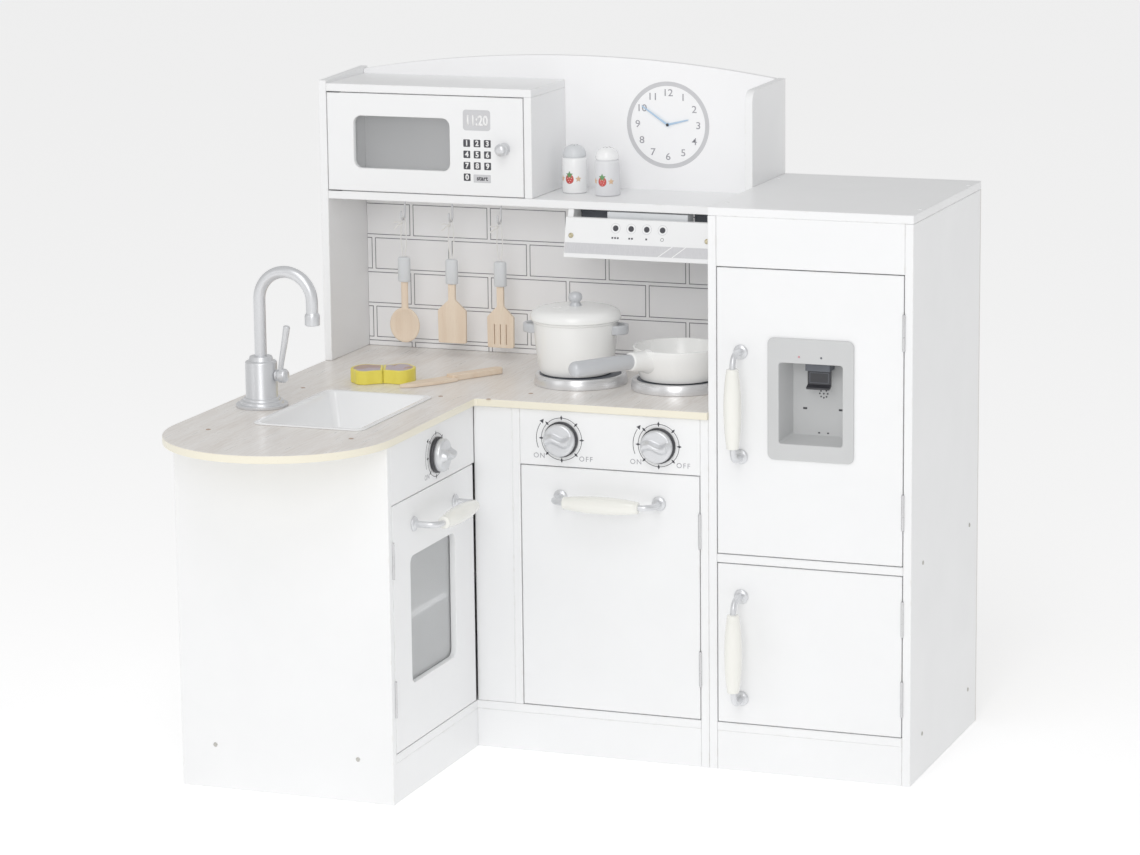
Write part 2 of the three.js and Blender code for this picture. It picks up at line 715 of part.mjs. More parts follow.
// ---- small loose pieces ---------------------------------------------------------------------------
function buildLoosePieces() {
  const shaker = (name, x, y) => {
    const g = turned([
      [0, 0],
      [17.5, 0],
      [18.8, 1.5],
      [18.8, 50],
      [16, 53],
      [16, 55],
      [17.6, 57],
      [15.5, 65],
      [9, 70],
      [0, 71.5],
    ], 20);
    addMesh(name, g, IVORY).position.set(x, y, UPPER.shelfTop + GAP);
  };
  shaker('salt_shaker', -307, 290);
  shaker('pepper_shaker', -250, 276);

  const ground = WORKTOP.top + GAP;
  const knife = new THREE.Shape();
  knife.moveTo(0, 2);
  knife.quadraticCurveTo(20, -11, 60, -11);
  knife.lineTo(96, -9);
  knife.lineTo(100, -7);
  knife.lineTo(182, -7);
  knife.quadraticCurveTo(188, -6, 188, 0);
  knife.quadraticCurveTo(188, 8, 182, 8);
  knife.quadraticCurveTo(140, 9, 100, 6);
  knife.lineTo(94, 11);
  knife.quadraticCurveTo(20, 12, 0, 2);
  const knifeMesh = addMesh('toy_knife', extruded(knife, 6, 8), BEECH);
  knifeMesh.position.set(-488, 31, ground);
  knifeMesh.rotation.z = THREE.MathUtils.degToRad(58);

  // A lobed toy roll lying flat, in two halves that part at its middle.
  const half = (side) => {
    const s = new THREE.Shape();
    s.moveTo(0.4, -26);
    s.lineTo(14, -29);
    s.bezierCurveTo(26, -40, 48, -36, 50, -20);
    s.bezierCurveTo(58, -14, 60, 12, 50, 18);
    s.bezierCurveTo(50, 36, 30, 42, 16, 30);
    s.lineTo(0.4, 27);
    const g = flatPlate(s, 0, 20, 6).scale(0.86, 0.86, 1);
    return side > 0 ? g : g.rotateZ(Math.PI);
  };
  for (const [name, side] of [['toy_food_right', 1], ['toy_food_left', -1]]) {
    const mesh = addMesh(name, outward(half(side)), YELLOW);
    mesh.position.set(-532, 77, ground);
    mesh.rotation.z = THREE.MathUtils.degToRad(22);
  }
}

buildFridge();
buildLowerCabinets();
buildWorktop();
buildFronts();
buildDispenser();
buildUpper();
buildHood();
buildClockHands();
buildTap();
buildBurners();
buildPans();
buildUtensils();
buildLoosePieces();

// ---- origin: the middle of the footprint, at the floor ----------------------------------------------
const extent = new THREE.Box3().setFromObject(kitchen);
const centre = extent.getCenter(new THREE.Vector3());
kitchen.position.set(-centre.x, -centre.y, 0);

const model = new THREE.Group();
model.add(kitchen);
export default model;
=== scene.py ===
"""The finished look of a toy corner kitchen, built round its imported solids.

Lengths below are in millimetres from the foot of the fridge's left front corner: +X to the
right, +Y to the back, +Z up. place() turns them into metres in the row's own frame.
"""

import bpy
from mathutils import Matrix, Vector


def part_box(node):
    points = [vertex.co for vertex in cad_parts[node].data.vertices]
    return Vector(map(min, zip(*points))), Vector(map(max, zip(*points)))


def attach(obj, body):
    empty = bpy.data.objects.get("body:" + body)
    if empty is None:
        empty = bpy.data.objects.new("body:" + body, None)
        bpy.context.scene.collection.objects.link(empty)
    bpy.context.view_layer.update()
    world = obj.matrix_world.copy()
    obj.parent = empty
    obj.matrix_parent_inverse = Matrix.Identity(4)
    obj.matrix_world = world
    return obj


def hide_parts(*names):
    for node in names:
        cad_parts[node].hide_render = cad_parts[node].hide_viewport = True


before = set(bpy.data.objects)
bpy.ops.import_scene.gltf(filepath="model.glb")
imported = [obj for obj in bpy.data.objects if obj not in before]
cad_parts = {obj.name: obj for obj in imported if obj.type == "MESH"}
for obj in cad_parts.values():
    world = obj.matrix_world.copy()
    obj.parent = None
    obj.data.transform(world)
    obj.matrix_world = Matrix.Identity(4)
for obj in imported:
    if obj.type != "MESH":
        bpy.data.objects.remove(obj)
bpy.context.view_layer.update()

import math

import bpy
import numpy as np
from mathutils import Matrix, Vector
from mathutils.geometry import tessellate_polygon

ORIGIN = np.array(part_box("fridge_side_left")[0])
BOARD = 12.0
EDGE = 0.9          # radius of a board's softened edge
MARGIN = 1.8        # width of the strip beside it that wears
WING_X = -358.0


def place(points):
    """Metres in the row's frame for points in millimetres from the fridge's foot."""
    return np.asarray(points, float) / 1000.0 + ORIGIN


def span(node):
    """A CAD node's box in millimetres: [[x0, x1], [y0, y1], [z0, z1]]."""
    low, high = (np.array(c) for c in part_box(node))
    return np.stack([(low - ORIGIN) * 1000, (high - ORIGIN) * 1000], axis=1)


def middle(node):
    return span(node).mean(axis=1)


# ---- camera ---------------------------------------------------------------------------

def add_camera():
    data = bpy.data.cameras.new("view")
    camera = bpy.data.objects.new("view", data)
    bpy.context.scene.collection.objects.link(camera)
    data.sensor_width = 36.0
    data.lens = 36.0 * 3851.0 / 1140.0
    yaw, pitch, roll = (math.radians(a) for a in (20.83, 11.546, -0.65))
    back = Vector((math.sin(yaw) * math.cos(pitch), -math.cos(yaw) * math.cos(pitch),
                   math.sin(pitch)))
    right = (-back).cross(Vector((0, 0, 1))).normalized()
    up = right.cross(-back)
    side = math.cos(roll) * right + math.sin(roll) * up
    top = -math.sin(roll) * right + math.cos(roll) * up
    turn = Matrix((side, top, back)).transposed().to_4x4()
    turn.translation = Vector(place((1711.5, -5047.2, 1590.1)))
    camera.matrix_world = turn
    data.clip_start, data.clip_end = 0.1, 100.0
    bpy.context.scene.camera = camera


# ---- shapes: each returns (points, faces, edge mask) --------------------------------------

def weld(points, faces, edge):
    """Joins points that lie together and drops the faces that this closes."""
    _, first, back = np.unique(np.round(points, 4), axis=0, return_index=True,
                               return_inverse=True)
    back = back.reshape(-1)
    kept = []
    for face in faces:
        ring = [i for i, j in zip(back[face], back[np.roll(face, 1)]) if i != j]
        if len(set(ring)) > 2:
            kept.append(ring)
    return points[first], kept, edge[first]


def strip_faces(rows, cols, closed_rows=False, start=0):
    """Quads of a grid whose columns close on themselves."""
    i = np.arange(rows if closed_rows else rows - 1)[:, None]
    j = np.arange(cols)[None, :]
    a = i * cols + j
    b = i * cols + (j + 1) % cols
    up = ((i + 1) % rows) * cols
    quads = np.stack([a, b, up + (j + 1) % cols, up + j], axis=-1).reshape(-1, 4)
    return (quads + start).tolist()


def outline(corners, steps=4, margin=MARGIN):
    """A polygon with round corners, anticlockwise, or clockwise for a hole.

    corners holds (x, y, radius). A corner is the arc c + r n, where n turns from one side's
    normal to the next; each side also has a point a margin away from the arc.
    Returns points, outward normals, mitres, radii, the wear mask of the corners, and the
    point that each one joins in the flat faces.
    """
    c = np.array(corners, float)
    p, radius = c[:, :2], c[:, 2]
    d = np.roll(p, -1, 0) - p
    d /= np.linalg.norm(d, axis=1)[:, None]
    before = np.roll(d, 1, 0)
    n0 = np.stack([before[:, 1], -before[:, 0]], 1)
    n1 = np.stack([d[:, 1], -d[:, 0]], 1)
    turn = before[:, 0] * d[:, 1] - before[:, 1] * d[:, 0]
    angle = np.arctan2(turn, (before * d).sum(1))
    mitre = (n0 + n1) / (1 + (n0 * n1).sum(1))[:, None]
    sign = np.where(turn >= 0, 1.0, -1.0)
    centre = p - mitre * (sign * radius)[:, None]
    t = np.linspace(0, 1, steps + 1)[None, :]
    a = np.arctan2(n0[:, 1], n0[:, 0])[:, None] + angle[:, None] * t
    n = np.stack([np.cos(a), np.sin(a)], -1)
    arc = centre[:, None] + (sign * radius)[:, None, None] * n
    reach = radius * np.tan(np.abs(angle) / 2)
    free = np.linalg.norm(np.roll(p, -1, 0) - p, axis=1) - reach - np.roll(reach, -1)
    after = np.clip(free * 0.3, 0, margin)[:, None, None]
    first = arc[:, :1] - np.roll(after, 1, 0) * before[:, None]
    last = arc[:, -1:] + after * d[:, None]
    points = np.concatenate([first, arc, last], 1)
    normals = np.concatenate([n[:, :1], n, n[:, -1:]], 1)
    mitres = np.concatenate([n[:, :1], np.repeat(mitre[:, None], steps + 1, 1), n[:, -1:]], 1)
    limit = np.where(turn > 0, radius, np.inf)[:, None]
    far = np.full((len(c), 1), np.inf)
    radii = np.concatenate([far, np.repeat(limit, steps + 1, 1), far], 1)
    sharp = np.repeat((radius <= 3)[:, None], steps + 1, 1).astype(float)
    none = np.zeros((len(c), 1))
    wear = np.concatenate([none, sharp, none], 1)
    count = steps + 3
    anchor = np.clip(np.arange(count), 1, count - 2)[None, :] + count * np.arange(len(c))[:, None]
    return (points.reshape(-1, 2), normals.reshape(-1, 2), mitres.reshape(-1, 2),
            radii.reshape(-1), wear.reshape(-1), anchor.reshape(-1))


def inset(loop, distance):
    """The outline moved inwards: p - n min(d, r) - m max(d - r, 0)."""
    p, n, m, r = loop[:4]
    near = np.minimum(distance, r)[:, None]
    far = np.maximum(distance - r, 0)[:, None]
    far[~np.isfinite(far)] = 0
    return p - n * near - m * far


def slab(loop, low, high, edge=EDGE, holes=(), margin=MARGIN, steps=3):
    """A plate between two heights with softened edges.

    Row k of the wall is the outline moved in by e(1 - sin a) at the height e(1 - cos a), from
    either face; a margin strip inside each face keeps the flats flat.
    """
    a = np.linspace(0, np.pi / 2, steps + 1)
    moves = [edge + margin, *(edge - edge * np.sin(a))]
    heights = [0.0, *(edge - edge * np.cos(a))]
    worn = [0.0, *([1.0] * (steps + 1))]
    if high - low > 2 * (edge + margin) + 0.2:
        moves.append(0.0)
        heights.append(edge + margin)
        worn.append(0.0)
    moves = np.array(moves + moves[::-1])
    heights = np.concatenate([low + np.array(heights), high - np.array(heights)[::-1]])
    worn = np.array(worn + worn[::-1])
    points, faces, mask, count = [], [], [], 0
    caps = ([], [])
    for one in (loop, *holes):
        cols = len(one[0])
        ring = np.stack([inset(one, move) for move in moves])
        ring[0], ring[-1] = ring[0][one[5]], ring[-1][one[5]]
        full = np.concatenate([ring, np.broadcast_to(heights[:, None, None],
                                                     (*ring.shape[:2], 1))], -1)
        points.append(full.reshape(-1, 3))
        mask.append(np.maximum(worn[:, None], one[4][None, :] * (moves[:, None] < edge + 0.01))
                    .reshape(-1))
        faces += strip_faces(len(moves), cols, start=count)
        caps[0].append(count + np.arange(cols))
        caps[1].append(count + (len(moves) - 1) * cols + np.arange(cols))
        count += len(moves) * cols
    points, mask = np.concatenate(points), np.concatenate(mask)
    for rings, facing in zip(caps, (-1, 1)):
        flat = np.concatenate(rings)
        triangles = tessellate_polygon([[Vector((*points[i, :2], 0)) for i in ring]
                                        for ring in rings])
        for triangle in triangles:
            t = flat[list(triangle)]
            u, v = points[t[1], :2] - points[t[0], :2], points[t[2], :2] - points[t[0], :2]
            area = u[0] * v[1] - u[1] * v[0]
            if abs(area) > 1e-7:
                faces.append(list(t if area * facing > 0 else t[::-1]))
    return weld(points, faces, mask)


def upright(shape):
    """A plate's outline in X and Y and its height, stood up: outline in X and Z, height in Y."""
    points, faces, edge = shape
    return points[:, [0, 2, 1]], [list(f)[::-1] for f in faces], edge


def sideways(shape):
    """A plate stood across: outline in Y and Z, height in X."""
    points, faces, edge = shape
    return points[:, [2, 0, 1]], faces, edge


def moved(shape, offset):
    points, faces, edge = shape
    return points + np.asarray(offset, float), faces, edge


def turned(shape, axis, degrees, centre=(0, 0, 0)):
    """The shape turned about an axis through a centre, by the right-hand rule."""
    points, faces, edge = shape
    turn = np.array(Matrix.Rotation(math.radians(degrees), 3, axis))
    middle = np.asarray(centre, float)
    return (points - middle) @ turn.T + middle, faces, edge


def onto_wing(shape):
    """From the stove's front to the wing's: the front's X runs along Y, its face looks to +X."""
    points, faces, edge = shape
    x, y, z = points.T
    return np.stack([WING_X - y, x, z], 1), faces, edge


def rectangle(x0, x1, y0, y1, radius=EDGE, hole=False):
    corners = [(x0, y0, radius), (x1, y0, radius), (x1, y1, radius), (x0, y1, radius)]
    return outline(corners[::-1] if hole else corners, steps=4 if radius < 3 else 8)


def block(x, y, z, edge=EDGE):
    """A board: the slab of its largest face."""
    sizes = [x[1] - x[0], y[1] - y[0], z[1] - z[0]]
    thin = int(np.argmin(sizes))
    edge = min(edge, sizes[thin] * 0.4)
    margin = min(MARGIN, sizes[thin] * 0.25)
    spans = [x, y, z]
    low, high = spans.pop(thin)
    (u0, u1), (v0, v1) = spans
    loop = outline([(u0, v0, edge), (u1, v0, edge), (u1, v1, edge), (u0, v1, edge)],
                   margin=margin)
    board = slab(loop, low, high, edge, margin=margin)
    return (sideways(board), upright(board), board)[thin]


def revolve(profile, segments=64):
    """p(s, t) = (r(s) cos t, r(s) sin t, z(s)), for a profile from axis to axis."""
    profile = np.asarray(profile, float)
    t = np.linspace(0, 2 * np.pi, segments, endpoint=False)
    r, z = profile[:, 0][:, None], profile[:, 1][:, None]
    points = np.stack([r * np.cos(t), r * np.sin(t), z + 0 * t], -1).reshape(-1, 3)
    return weld(points, strip_faces(len(profile), segments), np.zeros(len(points)))


def curve_through(points, count):
    """Points along the centripetal Catmull-Rom curve through the given ones."""
    p = np.asarray(points, float)
    p = np.concatenate([2 * p[:1] - p[1:2], p, 2 * p[-1:] - p[-2:-1]])
    gap = np.sqrt(np.linalg.norm(np.diff(p, axis=0), axis=1))
    knot = np.concatenate([[0], np.cumsum(gap)])
    u = np.linspace(0, len(points) - 1, count)
    i = np.minimum(u.astype(int), len(points) - 2)
    t = (knot[i + 1] + (u - i) * (knot[i + 2] - knot[i + 1]))[:, None]
    k = [knot[i + n][:, None] for n in range(4)]
    q = [p[i + n] for n in range(4)]
    mix = lambda a, b, ta, tb: (a * (tb - t) + b * (t - ta)) / (tb - ta)
    a1, a2, a3 = (mix(q[n], q[n + 1], k[n], k[n + 1]) for n in range(3))
    return mix(mix(a1, a2, k[0], k[2]), mix(a2, a3, k[1], k[3]), k[1], k[2])


def even(points, count):
    """The same line with its points evenly spaced."""
    step = np.concatenate([[0], np.cumsum(np.linalg.norm(np.diff(points, axis=0), axis=1))])
    at = np.linspace(0, step[-1], count)
    return np.stack([np.interp(at, step, points[:, n]) for n in range(3)], 1)


def sweep(path, radius, sides=20, wide=1.0, up=(0, 0, 1), dome=True, ply=0,
          bulge=2.0, square=1.0):
    """A round or oval bar along a path: p(s, t) = path(s) + r(s) (cos t a(s) + w sin t b(s)).

    a and b are square to the path and are carried along it without twist. The ends close with
    a small dome, where r falls as a quarter circle. With ply strands the bar is a twist:
    r grows by the share 0.12 cos(ply t - 1.1 i) at row i. bulge is how far a dome stands out,
    and a square below 1 raises |cos t| and |sin t| to that power, for a boxier section.
    """
    path = np.asarray(path, float)
    radius = np.broadcast_to(np.asarray(radius, float), (len(path),)).copy()
    tangent = np.gradient(path, axis=0)
    tangent /= np.linalg.norm(tangent, axis=1)[:, None]
    a = np.zeros_like(path)
    start = np.asarray(up, float) - tangent[0] * np.dot(up, tangent[0])
    if np.linalg.norm(start) < 1e-3:
        start = np.array([1.0, 0, 0]) - tangent[0] * tangent[0][0]
    a[0] = start / np.linalg.norm(start)
    for n in range(1, len(path)):
        step = a[n - 1] - tangent[n] * (a[n - 1] @ tangent[n])
        a[n] = step / np.linalg.norm(step)
    if dome:
        lift = np.linspace(0, np.pi / 2, 5)[1:]
        for end, facing in ((0, -1), (-1, 1)):
            reach = min(radius[end], bulge)
            extra = path[end] + tangent[end] * facing * reach * np.sin(lift)[:, None]
            drop = radius[end] - reach * (1 - np.cos(lift))
            rows = (path, radius, a, tangent)
            added = (extra, drop, np.repeat(a[end][None], 4, 0),
                     np.repeat(tangent[end][None], 4, 0))
            path, radius, a, tangent = (
                np.concatenate([row, more] if facing > 0 else [more[::-1], row])
                for row, more in zip(rows, added))
    path = np.concatenate([path[:1], path, path[-1:]])
    radius = np.concatenate([[0], radius, [0]])
    a = np.concatenate([a[:1], a, a[-1:]])
    tangent = np.concatenate([tangent[:1], tangent, tangent[-1:]])
    b = np.cross(tangent, a)
    t = np.linspace(0, 2 * np.pi, sides, endpoint=False)
    first, second = (np.sign(f(t)) * np.abs(f(t)) ** square for f in (np.cos, np.sin))
    ring = first[None, :, None] * a[:, None] + wide * second[None, :, None] * b[:, None]
    if ply:
        twist = np.cos(ply * t[None, :] - 1.1 * np.arange(len(path))[:, None])
        ring = ring * (1 + 0.12 * twist)[:, :, None]
    points = (path[:, None] + radius[:, None, None] * ring).reshape(-1, 3)
    return weld(points, strip_faces(len(path), sides), np.zeros(len(points)))


def gathered(shapes):
    """Several shapes as one."""
    points, faces, edge, count = [], [], [], 0
    for p, f, e in shapes:
        points.append(p)
        faces += [[i + count for i in face] for face in f]
        edge.append(e)
        count += len(p)
    return np.concatenate(points), faces, np.concatenate(edge)


def piece(name, shapes, material, body="cabinet", replaces=(), crease=None):
    """A finished object from shapes in millimetres, riding on a CAD body."""
    points, faces, edge = gathered(shapes if isinstance(shapes, list) else [shapes])
    mesh = bpy.data.meshes.new(name)
    mesh.from_pydata(place(points), [], faces)
    mesh.polygons.foreach_set("use_smooth", np.ones(len(mesh.polygons), bool))
    mesh.attributes.new("edge", "FLOAT", "POINT").data.foreach_set(
        "value", edge.astype(np.float32))
    if crease:
        mesh.set_sharp_from_angle(angle=math.radians(crease))
    mesh.materials.append(material)
    made = bpy.data.objects.new(name, mesh)
    bpy.context.scene.collection.objects.link(made)
    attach(made, body)
    for node in (replaces if isinstance(replaces, (list, tuple)) else [replaces]):
        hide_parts(node)
    return made


def plain_loop(points):
    """A smooth polygon, anticlockwise: its normals and mitres come from its neighbours."""
    p = np.asarray(points, float)
    d = np.roll(p, -1, 0) - p
    d /= np.linalg.norm(d, axis=1)[:, None]
    before = np.roll(d, 1, 0)
    n0 = np.stack([before[:, 1], -before[:, 0]], 1)
    n1 = np.stack([d[:, 1], -d[:, 0]], 1)
    mitre = (n0 + n1) / np.maximum(1 + (n0 * n1).sum(1), 0.2)[:, None]
    normal = mitre / np.linalg.norm(mitre, axis=1)[:, None]
    return p, normal, mitre, np.zeros(len(p)), np.zeros(len(p)), np.arange(len(p))


def circle(radius, x=0.0, y=0.0, count=48, hole=False):
    """Points at (x + r cos t, y + r sin t)."""
    t = np.linspace(0, 2 * np.pi, count, endpoint=False) * (-1 if hole else 1)
    return plain_loop(np.stack([x + radius * np.cos(t), y + radius * np.sin(t)], 1))


def band(radius, width, first, last, count=40):
    """A curved stripe between two angles in degrees."""
    t = np.radians(np.linspace(first, last, count))
    ray = np.stack([np.cos(t), np.sin(t)], 1)
    return plain_loop(np.concatenate([(radius + width / 2) * ray,
                                      (radius - width / 2) * ray[::-1]]))


def star(outer, inner, x, y):
    """Ten points that step between two radii."""
    t = np.pi / 2 + np.arange(10) * np.pi / 5
    r = np.where(np.arange(10) % 2, inner, outer)
    return plain_loop(np.stack([x + r * np.cos(t), y + r * np.sin(t)], 1))


def decal(loop, holes=(), thick=0.08):
    """A thin printed patch that stands in the X-Z plane, its back 0.02 mm before y = 0."""
    shape = upright(slab(loop, 0, thick, 0.015, holes, 0.02, 1))
    return moved(shape, (0, -thick - 0.02, 0))


def shrunk(rim, centre, rows):
    """A closed shape whose rim shrinks to its centre: p = (c + k (rim - c), depth), stood up."""
    share, depth = np.array(rows, float).T
    ring = np.asarray(centre) + share[:, None, None] * (rim - np.asarray(centre))[None]
    level = np.broadcast_to(depth[:, None, None], (*ring.shape[:2], 1))
    points = np.concatenate([ring, level], -1).reshape(-1, 3)
    return upright(weld(points, strip_faces(len(rows), len(rim)), np.zeros(len(points))))


def badge(rim, centre):
    """A printed patch with rings inside its rim, so that it can bend."""
    shares = (0, 0.25, 0.5, 0.75, 1)
    return shrunk(rim, centre, [(k, -0.12) for k in shares]
                  + [(k, -0.02) for k in shares[::-1]])


def lettering(text, size, x=0.0, z=0.0, squeeze=1.0, bold=0.0, gap=1.0):
    """Printed characters centred on (x, z), as a decal; bold fattens the strokes."""
    data = bpy.data.curves.new("lettering", "FONT")
    data.body, data.size = text, size
    data.align_x, data.align_y = "CENTER", "CENTER"
    data.space_character = gap
    data.extrude, data.resolution_u, data.offset = 0.04, 4, bold * size
    holder = bpy.data.objects.new("lettering", data)
    mesh = holder.to_mesh()
    flat_points = np.zeros(len(mesh.vertices) * 3)
    mesh.vertices.foreach_get("co", flat_points)
    u, v, w = flat_points.reshape(-1, 3).T
    faces = [list(f.vertices) for f in mesh.polygons]
    holder.to_mesh_clear()
    bpy.data.objects.remove(holder)
    bpy.data.curves.remove(data)
    points = np.stack([x + u * squeeze, -w - 0.06, z + v], 1)
    return weld(points, faces, np.zeros(len(points)))


def wrapped(shape, radius, centre, facing):
    """A decal bent round an upright cylinder: x runs along the wall, -y stands off it."""
    points, faces, edge = shape
    x, y, z = points.T
    angle = math.radians(facing) + x / radius
    r = radius - y
    return (np.stack([centre[0] + r * np.cos(angle), centre[1] + r * np.sin(angle),
                      centre[2] + z], 1), faces, edge)


def loft(rings):
    """A closed surface through rings of equal count, capped at both ends."""
    rings = np.asarray(rings, float)
    rows, cols = rings.shape[:2]
    faces = strip_faces(rows, cols)
    faces.append(list(range(cols))[::-1])
    faces.append([(rows - 1) * cols + i for i in range(cols)])
    return weld(rings.reshape(-1, 3), faces, np.zeros(rows * cols))


def box_ring(x0, x1, y0, y1, radius, z, steps=8):
    """A rectangle with round corners at one height: the arcs c + r (cos t, sin t)."""
    t = np.linspace(0, np.pi / 2, steps + 1)
    starts = np.array([[x1 - radius, y1 - radius, 0], [x0 + radius, y1 - radius, 1],
                       [x0 + radius, y0 + radius, 2], [x1 - radius, y0 + radius, 3]])
    a = starts[:, 2:3] * np.pi / 2 + t[None, :]
    ring = starts[:, None, :2] + radius * np.stack([np.cos(a), np.sin(a)], -1)
    ring = ring.reshape(-1, 2)
    return np.concatenate([ring, np.full((len(ring), 1), z)], 1)


# ---- materials ----------------------------------------------------------------------------

def node(tree, kind, inputs=None, **settings):
    """Adds a shader node, sets its options, and fills or links its inputs."""
    made = tree.nodes.new(kind)
    for key, value in settings.items():
        setattr(made, key, value)
    for key, value in (inputs or {}).items():
        if isinstance(value, bpy.types.NodeSocket):
            tree.links.new(value, made.inputs[key])
        else:
            made.inputs[key].default_value = value
    return made


def maths(tree, operation, a, b=0.0, c=0.0):
    return node(tree, "ShaderNodeMath", {0: a, 1: b, 2: c}, operation=operation).outputs[0]


def ramp(tree, value, low, high, to_low=0.0, to_high=1.0):
    made = node(tree, "ShaderNodeMapRange", {"Value": value, "From Min": low, "From Max": high,
                                             "To Min": to_low, "To Max": to_high})
    return made.outputs["Result"]


def blend_colour(tree, share, first, second):
    made = node(tree, "ShaderNodeMix", data_type="RGBA")
    for socket, value in ((0, share), (6, first), (7, second)):
        if isinstance(value, bpy.types.NodeSocket):
            tree.links.new(value, made.inputs[socket])
        else:
            made.inputs[socket].default_value = value if socket == 0 else (*value[:3], 1)
    return made.outputs[2]


def noise(tree, where, scale, detail=2.0, rough=0.5, distort=0.0):
    return node(tree, "ShaderNodeTexNoise", {
        "Vector": where, "Scale": scale, "Detail": detail, "Roughness": rough,
        "Distortion": distort}).outputs[0]


def stretched(tree, where, by):
    return node(tree, "ShaderNodeVectorMath", {0: where, 1: by}, operation="MULTIPLY").outputs[0]


def new_group(name, inputs, outputs):
    """An empty node group with named inputs (kind, default) and outputs (kind)."""
    tree = bpy.data.node_groups.new(name, "ShaderNodeTree")
    for label, (kind, value) in inputs.items():
        made = tree.interface.new_socket(label, in_out="INPUT", socket_type="NodeSocket" + kind)
        if value is not None:
            made.default_value = value
    for label, kind in outputs.items():
        tree.interface.new_socket(label, in_out="OUTPUT", socket_type="NodeSocket" + kind)
    return tree, tree.nodes.new("NodeGroupInput"), tree.nodes.new("NodeGroupOutput")


def make_surface_skin():
    """Fine orange peel and slow unevenness, as a lacquer or a moulding has."""
    tree, given, out = new_group("surface_skin", {"Vector": ("Vector", None),
                                                  "Scale": ("Float", 900.0)},
                                 {"Height": "Float", "Tone": "Float"})
    where, scale = given.outputs[:2]
    slow = noise(tree, where, maths(tree, "MULTIPLY", scale, 0.014), 4.0, 0.6)
    tree.links.new(noise(tree, where, scale), out.inputs["Height"])
    tree.links.new(ramp(tree, slow, 0.3, 0.7), out.inputs["Tone"])
    return tree


def make_edge_wear():
    """Where a board's edge has rubbed: the edge strip, broken up by noise."""
    tree, given, out = new_group("edge_wear", {"Vector": ("Vector", None),
                                               "Amount": ("Float", 0.5)}, {"Mask": "Float"})
    strip = node(tree, "ShaderNodeAttribute", attribute_name="edge")
    broken = ramp(tree, noise(tree, given.outputs[0], 70.0, 6.0, 0.7), 0.5, 0.66)
    mask = maths(tree, "MULTIPLY", maths(tree, "MULTIPLY", strip.outputs["Fac"], broken),
                 given.outputs[1])
    tree.links.new(mask, out.inputs["Mask"])
    return tree


def make_wood_grain():
    """Long fibres along X with darker figure and short pores between them."""
    tree, given, out = new_group("wood_grain", {"Vector": ("Vector", None),
                                                "Width": ("Float", 260.0)},
                                 {"Fibre": "Float", "Figure": "Float", "Pores": "Float"})
    where, width = given.outputs[:2]
    bend = maths(tree, "MULTIPLY", noise(tree, where, 6.0), 0.02)
    along = node(tree, "ShaderNodeVectorMath", {
        0: stretched(tree, where, (0.045, 1.0, 1.0)), 1: bend}, operation="ADD").outputs[0]
    figure = noise(tree, along, maths(tree, "MULTIPLY", width, 0.12), 5.0, 0.6, 0.8)
    pores = noise(tree, along, maths(tree, "MULTIPLY", width, 2.6))
    tree.links.new(noise(tree, along, width, 6.0, 0.65), out.inputs["Fibre"])
    tree.links.new(figure, out.inputs["Figure"])
    tree.links.new(ramp(tree, pores, 0.62, 0.7), out.inputs["Pores"])
    return tree


SKIN, WEAR, GRAIN = make_surface_skin(), make_edge_wear(), make_wood_grain()


def start_material(name, roughness=0.4, metallic=0.0, **fixed):
    """A material with its shader, where all that is the same all over is set on the shader."""
    made = bpy.data.materials.new(name)
    made.use_nodes = True
    tree = made.node_tree
    shader = tree.nodes["Principled BSDF"]
    shader.inputs["Roughness"].default_value = roughness
    shader.inputs["Metallic"].default_value = metallic
    for label, value in fixed.items():
        shader.inputs[label.replace("_", " ").title().replace("Ior", "IOR")].default_value = value
    where = node(tree, "ShaderNodeTexCoord").outputs["Object"]
    return made, tree, shader, where


def use_group(tree, group, where, **values):
    made = node(tree, "ShaderNodeGroup", node_tree=group)
    tree.links.new(where, made.inputs["Vector"])
    for label, value in values.items():
        made.inputs[label].default_value = value
    return made


def dress(tree, shader, colour, height, depth, rough=None):
    """Links a material's colour, its bump, and its roughness where that varies."""
    tree.links.new(colour, shader.inputs["Base Color"])
    if rough is not None:
        tree.links.new(rough, shader.inputs["Roughness"])
    bump = node(tree, "ShaderNodeBump", {"Height": height, "Distance": depth})
    tree.links.new(bump.outputs[0], shader.inputs["Normal"])


def coated(name, colour, roughness, shade=0.03, peel=900.0, depth=4e-6, worn=None, amount=0.6,
           metallic=0.0, **fixed):
    """Paint or moulded plastic: an uneven tone, orange peel, and worn edges if it has any."""
    made, tree, shader, where = start_material(name, roughness, metallic, **fixed)
    skin = use_group(tree, SKIN, where, Scale=peel)
    dark = [c * (1 - shade) for c in colour]
    tone = blend_colour(tree, skin.outputs["Tone"], dark, colour)
    rough = ramp(tree, skin.outputs["Tone"], 0, 1, roughness * 1.12, roughness * 0.9)
    if worn:
        rubbed = use_group(tree, WEAR, where, Amount=amount).outputs["Mask"]
        tone = blend_colour(tree, rubbed, tone, worn)
        rough = maths(tree, "ADD", rough, maths(tree, "MULTIPLY", rubbed, 0.2))
    dress(tree, shader, tone, skin.outputs["Height"], depth, rough)
    return made


def make_rear_board():
    """Thin hardboard, white outside, with a faint pressed fibre."""
    made, tree, shader, where = start_material("white_hardboard", 0.6)
    fibre = use_group(tree, GRAIN, where, Width=420.0)
    skin = use_group(tree, SKIN, where, Scale=500.0)
    tone = blend_colour(tree, fibre.outputs["Fibre"], (0.66, 0.65, 0.62), (0.8, 0.79, 0.77))
    dress(tree, shader, tone, skin.outputs["Height"], 1.5e-5)
    return made


